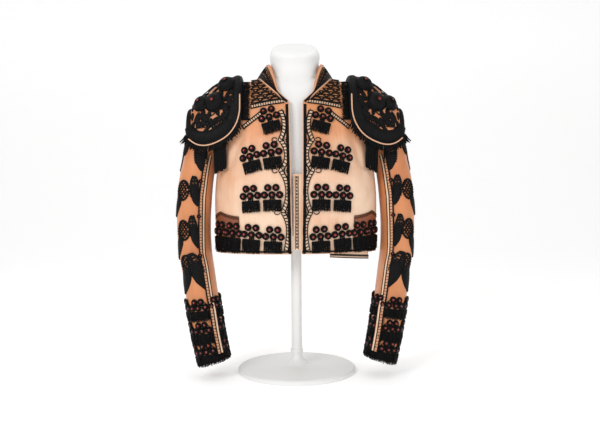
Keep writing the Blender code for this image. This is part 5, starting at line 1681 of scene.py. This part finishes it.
def build_cuffs():
    """Three tiers on each cuff: two rings of rosettes, a bar of cords, and dense fringe."""
    for number, (height, length) in enumerate(CUFF_TIERS, start=1):
        lower = np.arange(CUFF_ROSETTES) * 2 * math.pi / CUFF_ROSETTES
        upper = lower[np.arange(CUFF_ROSETTES) % 3 != 2] + math.pi / CUFF_ROSETTES
        places = [(turn, float(run_at(height + rise))) for ring, rise in ((lower, 0.0115), (upper, 0.0245))
                  for turn in np.angle(np.exp(1j * ring))]
        black, red = rosettes(sleeve, places, 0.93, 0.0004)
        turn = np.linspace(-math.pi, math.pi, 91)[:-1]
        cords = [cord(sleeve, turn, run_at(height + rise), radius, 0.0010, loop=True)
                 for rise, radius in CUFF_CORDS]
        a = np.angle(np.exp(1j * (turn + 0.02 * np.sin(turn * 40))))
        b = run_at(height + 0.0190 + 0.0035 * np.cos(turn * CUFF_ROSETTES))
        cords.append(cord(sleeve, a, b, 0.0010, 0.0004, loop=True))
        wrap, part = np.meshgrid(np.linspace(-math.pi, math.pi, 73), np.linspace(0, 1, 5))
        ends = run_at(height + 0.001 - 0.78 * length * part)
        outer, inner = (sleeve.at(wrap, ends, lift)[:, :-1] for lift in (0.0009, -0.0002))
        cords.append(walled(outer, inner, wrap * SLEEVE_RADIUS, ends * RUN_LENGTH, loop=True))
        threads = []
        for layer, (low, high, count) in enumerate(CUFF_LAYERS):
            draw = np.random.default_rng(200 + 10 * number + layer)
            turn = np.linspace(-math.pi, math.pi, count + 1)[:-1] + draw.uniform(-0.006, 0.006, count)
            lengths = length * (1 + draw.uniform(-0.10, 0.08, count))
            share = np.linspace(0, 1, 6)[None]
            phase = draw.uniform(0, 6.28, (count, 1))
            b = run_at(height + 0.002 - lengths[:, None] * share)
            a = turn[:, None] + 0.010 * share * np.sin(phase + 4 * share)
            rise = draw.uniform(low, high, (count, 1)) + 0.0008 * np.sin(2 * phase + 5 * share)
            path, side, out = laid(sleeve, a, b, rise)
            threads.append(swept(path, side, out, circle(0.00098, 4), 1.0 - 0.3 * share))
        pair(f"cuff_rosettes_{number}", [black] + cords, black_cord)
        pair(f"cuff_threads_{number}", threads, black_thread,
             [f"cuff_fringe_{number}_" + "{side}"])
        pair(f"cuff_stones_{number}", [red], garnet, sharp=20)


# Leaves and netted heads as rows of (degrees round, height, half width)
LEAVES = (
    ((100, 0.545, 0.0050), (96, 0.528, 0.0135), (101, 0.508, 0.0140), (108, 0.490, 0.0085),
     (114, 0.482, 0.0020)),
    ((90, 0.466, 0.0030), (92, 0.452, 0.0078), (96, 0.432, 0.0090), (103, 0.412, 0.0085),
     (110, 0.399, 0.0035)),
    ((92, 0.376, 0.0030), (93, 0.360, 0.0075), (97, 0.340, 0.0090), (103, 0.318, 0.0088),
     (110, 0.302, 0.0035)),
    ((80, 0.290, 0.0060), (85, 0.276, 0.0150), (92, 0.254, 0.0175), (101, 0.230, 0.0130),
     (110, 0.208, 0.0030)),
)
NETTED = (
    ((56, 0.455, 0.0), (56, 0.432, 0.0), (46, 0.420, 0.0060), (38, 0.406, 0.0110), (26, 0.388, 0.0075),
     (14, 0.372, 0.002)),
    ((58, 0.368, 0.0), (60, 0.343, 0.0), (50, 0.330, 0.0060), (42, 0.316, 0.0125), (28, 0.294, 0.0085),
     (12, 0.276, 0.002)),
    ((58, 0.284, 0.0), (62, 0.264, 0.0), (56, 0.258, 0.0120), (48, 0.240, 0.0180), (36, 0.218, 0.0140),
     (24, 0.198, 0.003)),
    ((40, 0.530, 0.0), (30, 0.520, 0.0), (22, 0.510, 0.0020), (14, 0.497, 0.0055), (4, 0.482, 0.0045),
     (-4, 0.470, 0.002)),
)
SLEEVE_BEADS = ((110, 0.4575), (112, 0.3750), (111, 0.2840))
BAND_START = 3.45
CUFF_TIERS = ((0.1556, 0.0200), (0.1045, 0.0200), (0.0600, 0.0220))
CUFF_ROSETTES = 18
BAND_STRIPS = ((-0.0038, 0.0036, 0.0004), (0.0050, 0.0034, 0.0010))
BAND_CORDS = ((-0.0086, 0.0013), (-0.0066, 0.0007), (0.0012, 0.0012), (0.0086, 0.0011))
CUFF_CORDS = ((0.0026, 0.0017), (0.0002, 0.0014), (-0.0022, 0.0014))
CUFF_LAYERS = ((0.0006, 0.0022, 130), (0.0026, 0.0048, 136))
build_sleeve_leaves()
build_bands()
build_cuffs()


def build_collar_work():
    """Cords along the collar's base and top, a black band, and rings of fine cord between them."""
    place = np.linspace(0.02, 1.0, 100)
    dark, pale = [], []
    for group, rows in ((dark, COLLAR_CORDS), (pale, COLLAR_PIPING)):
        for share, radius in rows:
            group.append(cord(collar, place, share, radius, 0.0003))
    ring = turns(14)
    for centre in np.linspace(0.048, 0.982, 24):
        for reach in (1.0, 0.35):
            a = centre + 0.0160 * reach * np.cos(ring)
            b = 0.61 + 0.11 * reach * np.sin(ring)
            dark.append(cord(collar, a, b, 0.0010, 0.0003, sides=5, loop=True))
    a, b = np.meshgrid(place, np.linspace(0.10, 0.44, 8), indexing="ij")
    top, low = collar.at(a, b, 0.0011), collar.at(a, b, -0.0002)
    dark.append(walled(top, low, a * COLLAR_LENGTH, b * COLLAR_STAND))
    pair("collar_work", dark, black_cord)
    pair("collar_piping", pale, peach_cord)


COLLAR_CORDS = ((0.085, 0.0012), (0.16, 0.0012), (0.23, 0.0012), (0.30, 0.0012), (0.37, 0.0012),
                (0.45, 0.0012), (0.75, 0.0010), (0.82, 0.0010))
COLLAR_PIPING = ((0.035, 0.0013), (0.93, 0.0011))
build_collar_work()


def build_stage():
    """A pale floor that sweeps up into a backdrop: a line with a quarter circle, carried sideways."""
    bend = np.linspace(0, math.pi / 2, 17)
    y = np.concatenate([[-6.0, STAGE_DEPTH], STAGE_DEPTH + STAGE_BEND * np.sin(bend)[1:],
                        [STAGE_DEPTH + STAGE_BEND]])
    z = np.concatenate([[0.0, 0.0], STAGE_BEND * (1 - np.cos(bend))[1:], [6.0]]) - FLOOR_GAP
    x = np.array([-7.0, 7.0])
    points = np.stack(np.broadcast_arrays(x[None], y[:, None], z[:, None]), axis=-1).reshape(-1, 3)
    ids = np.arange(len(points)).reshape(len(y), 2)
    mesh = bpy.data.meshes.new("floor_and_backdrop")
    mesh.from_pydata(points.tolist(), [], between(ids).tolist())
    mesh.shade_smooth()
    mesh.materials.append(stage_paint())
    floor = bpy.data.objects.new("floor_and_backdrop", mesh)
    bpy.context.scene.collection.objects.link(floor)


def build_light():
    """Soft studio light: two large panels at the front, one above, and an even pale surround."""
    for name, place, size, watts in LAMPS:
        lamp = bpy.data.lights.new(name, "AREA")
        lamp.shape, lamp.size, lamp.energy = "SQUARE", size, watts
        obj = bpy.data.objects.new(name, lamp)
        obj.location = place
        aim = np.array(LIGHT_AIM) - place
        obj.rotation_euler = (math.atan2(math.hypot(aim[0], aim[1]), -aim[2]), 0,
                              math.atan2(aim[1], aim[0]) - math.pi / 2)
        bpy.context.scene.collection.objects.link(obj)
    world = bpy.data.worlds.new("surround")
    world.use_nodes = True
    background = world.node_tree.nodes["Background"]
    background.inputs["Color"].default_value = (1, 1, 1, 1)
    background.inputs["Strength"].default_value = SURROUND
    bpy.context.scene.world = world
    bpy.context.scene.view_settings.view_transform = "Standard"


def build_camera():
    """The photo's view: from a little to the wearer's right, near level."""
    camera = bpy.data.cameras.new("camera")
    camera.sensor_width = 36.0
    camera.lens = 36.0 * CAMERA_DISTANCE / VIEW_WIDTH
    obj = bpy.data.objects.new("camera", camera)
    turn, rise = math.radians(CAMERA_AZIMUTH), math.radians(CAMERA_RISE)
    back = np.array([math.sin(turn) * math.cos(rise), -math.cos(turn) * math.cos(rise), math.sin(rise)])
    obj.location = np.array(CAMERA_AIM) + back * CAMERA_DISTANCE
    obj.rotation_euler = (math.pi / 2 - rise, 0, turn)
    obj.rotation_euler.rotate_axis("Z", math.radians(CAMERA_ROLL))
    bpy.context.scene.collection.objects.link(obj)
    bpy.context.scene.camera = obj


STAGE_DEPTH, STAGE_BEND = 2.2, 1.5
FLOOR_GAP = 0.0002
LIGHT_AIM = (0.0, 0.0, 0.45)
LAMPS = (
    ("front_left_panel", (-1.5, -2.2, 1.7), 1.1, 34.0),
    ("front_right_panel", (1.6, -2.0, 1.2), 1.4, 12.0),
    ("top_panel", (0.0, 0.3, 2.4), 1.6, 9.0),
)
SURROUND = 0.62
CAMERA_AZIMUTH, CAMERA_RISE, CAMERA_ROLL = -1.5, 3.0, -0.4
CAMERA_DISTANCE, VIEW_WIDTH = 1.7, 1.404
CAMERA_AIM = (0.009, -0.03, 0.369)

build_stage()
build_light()
build_camera()
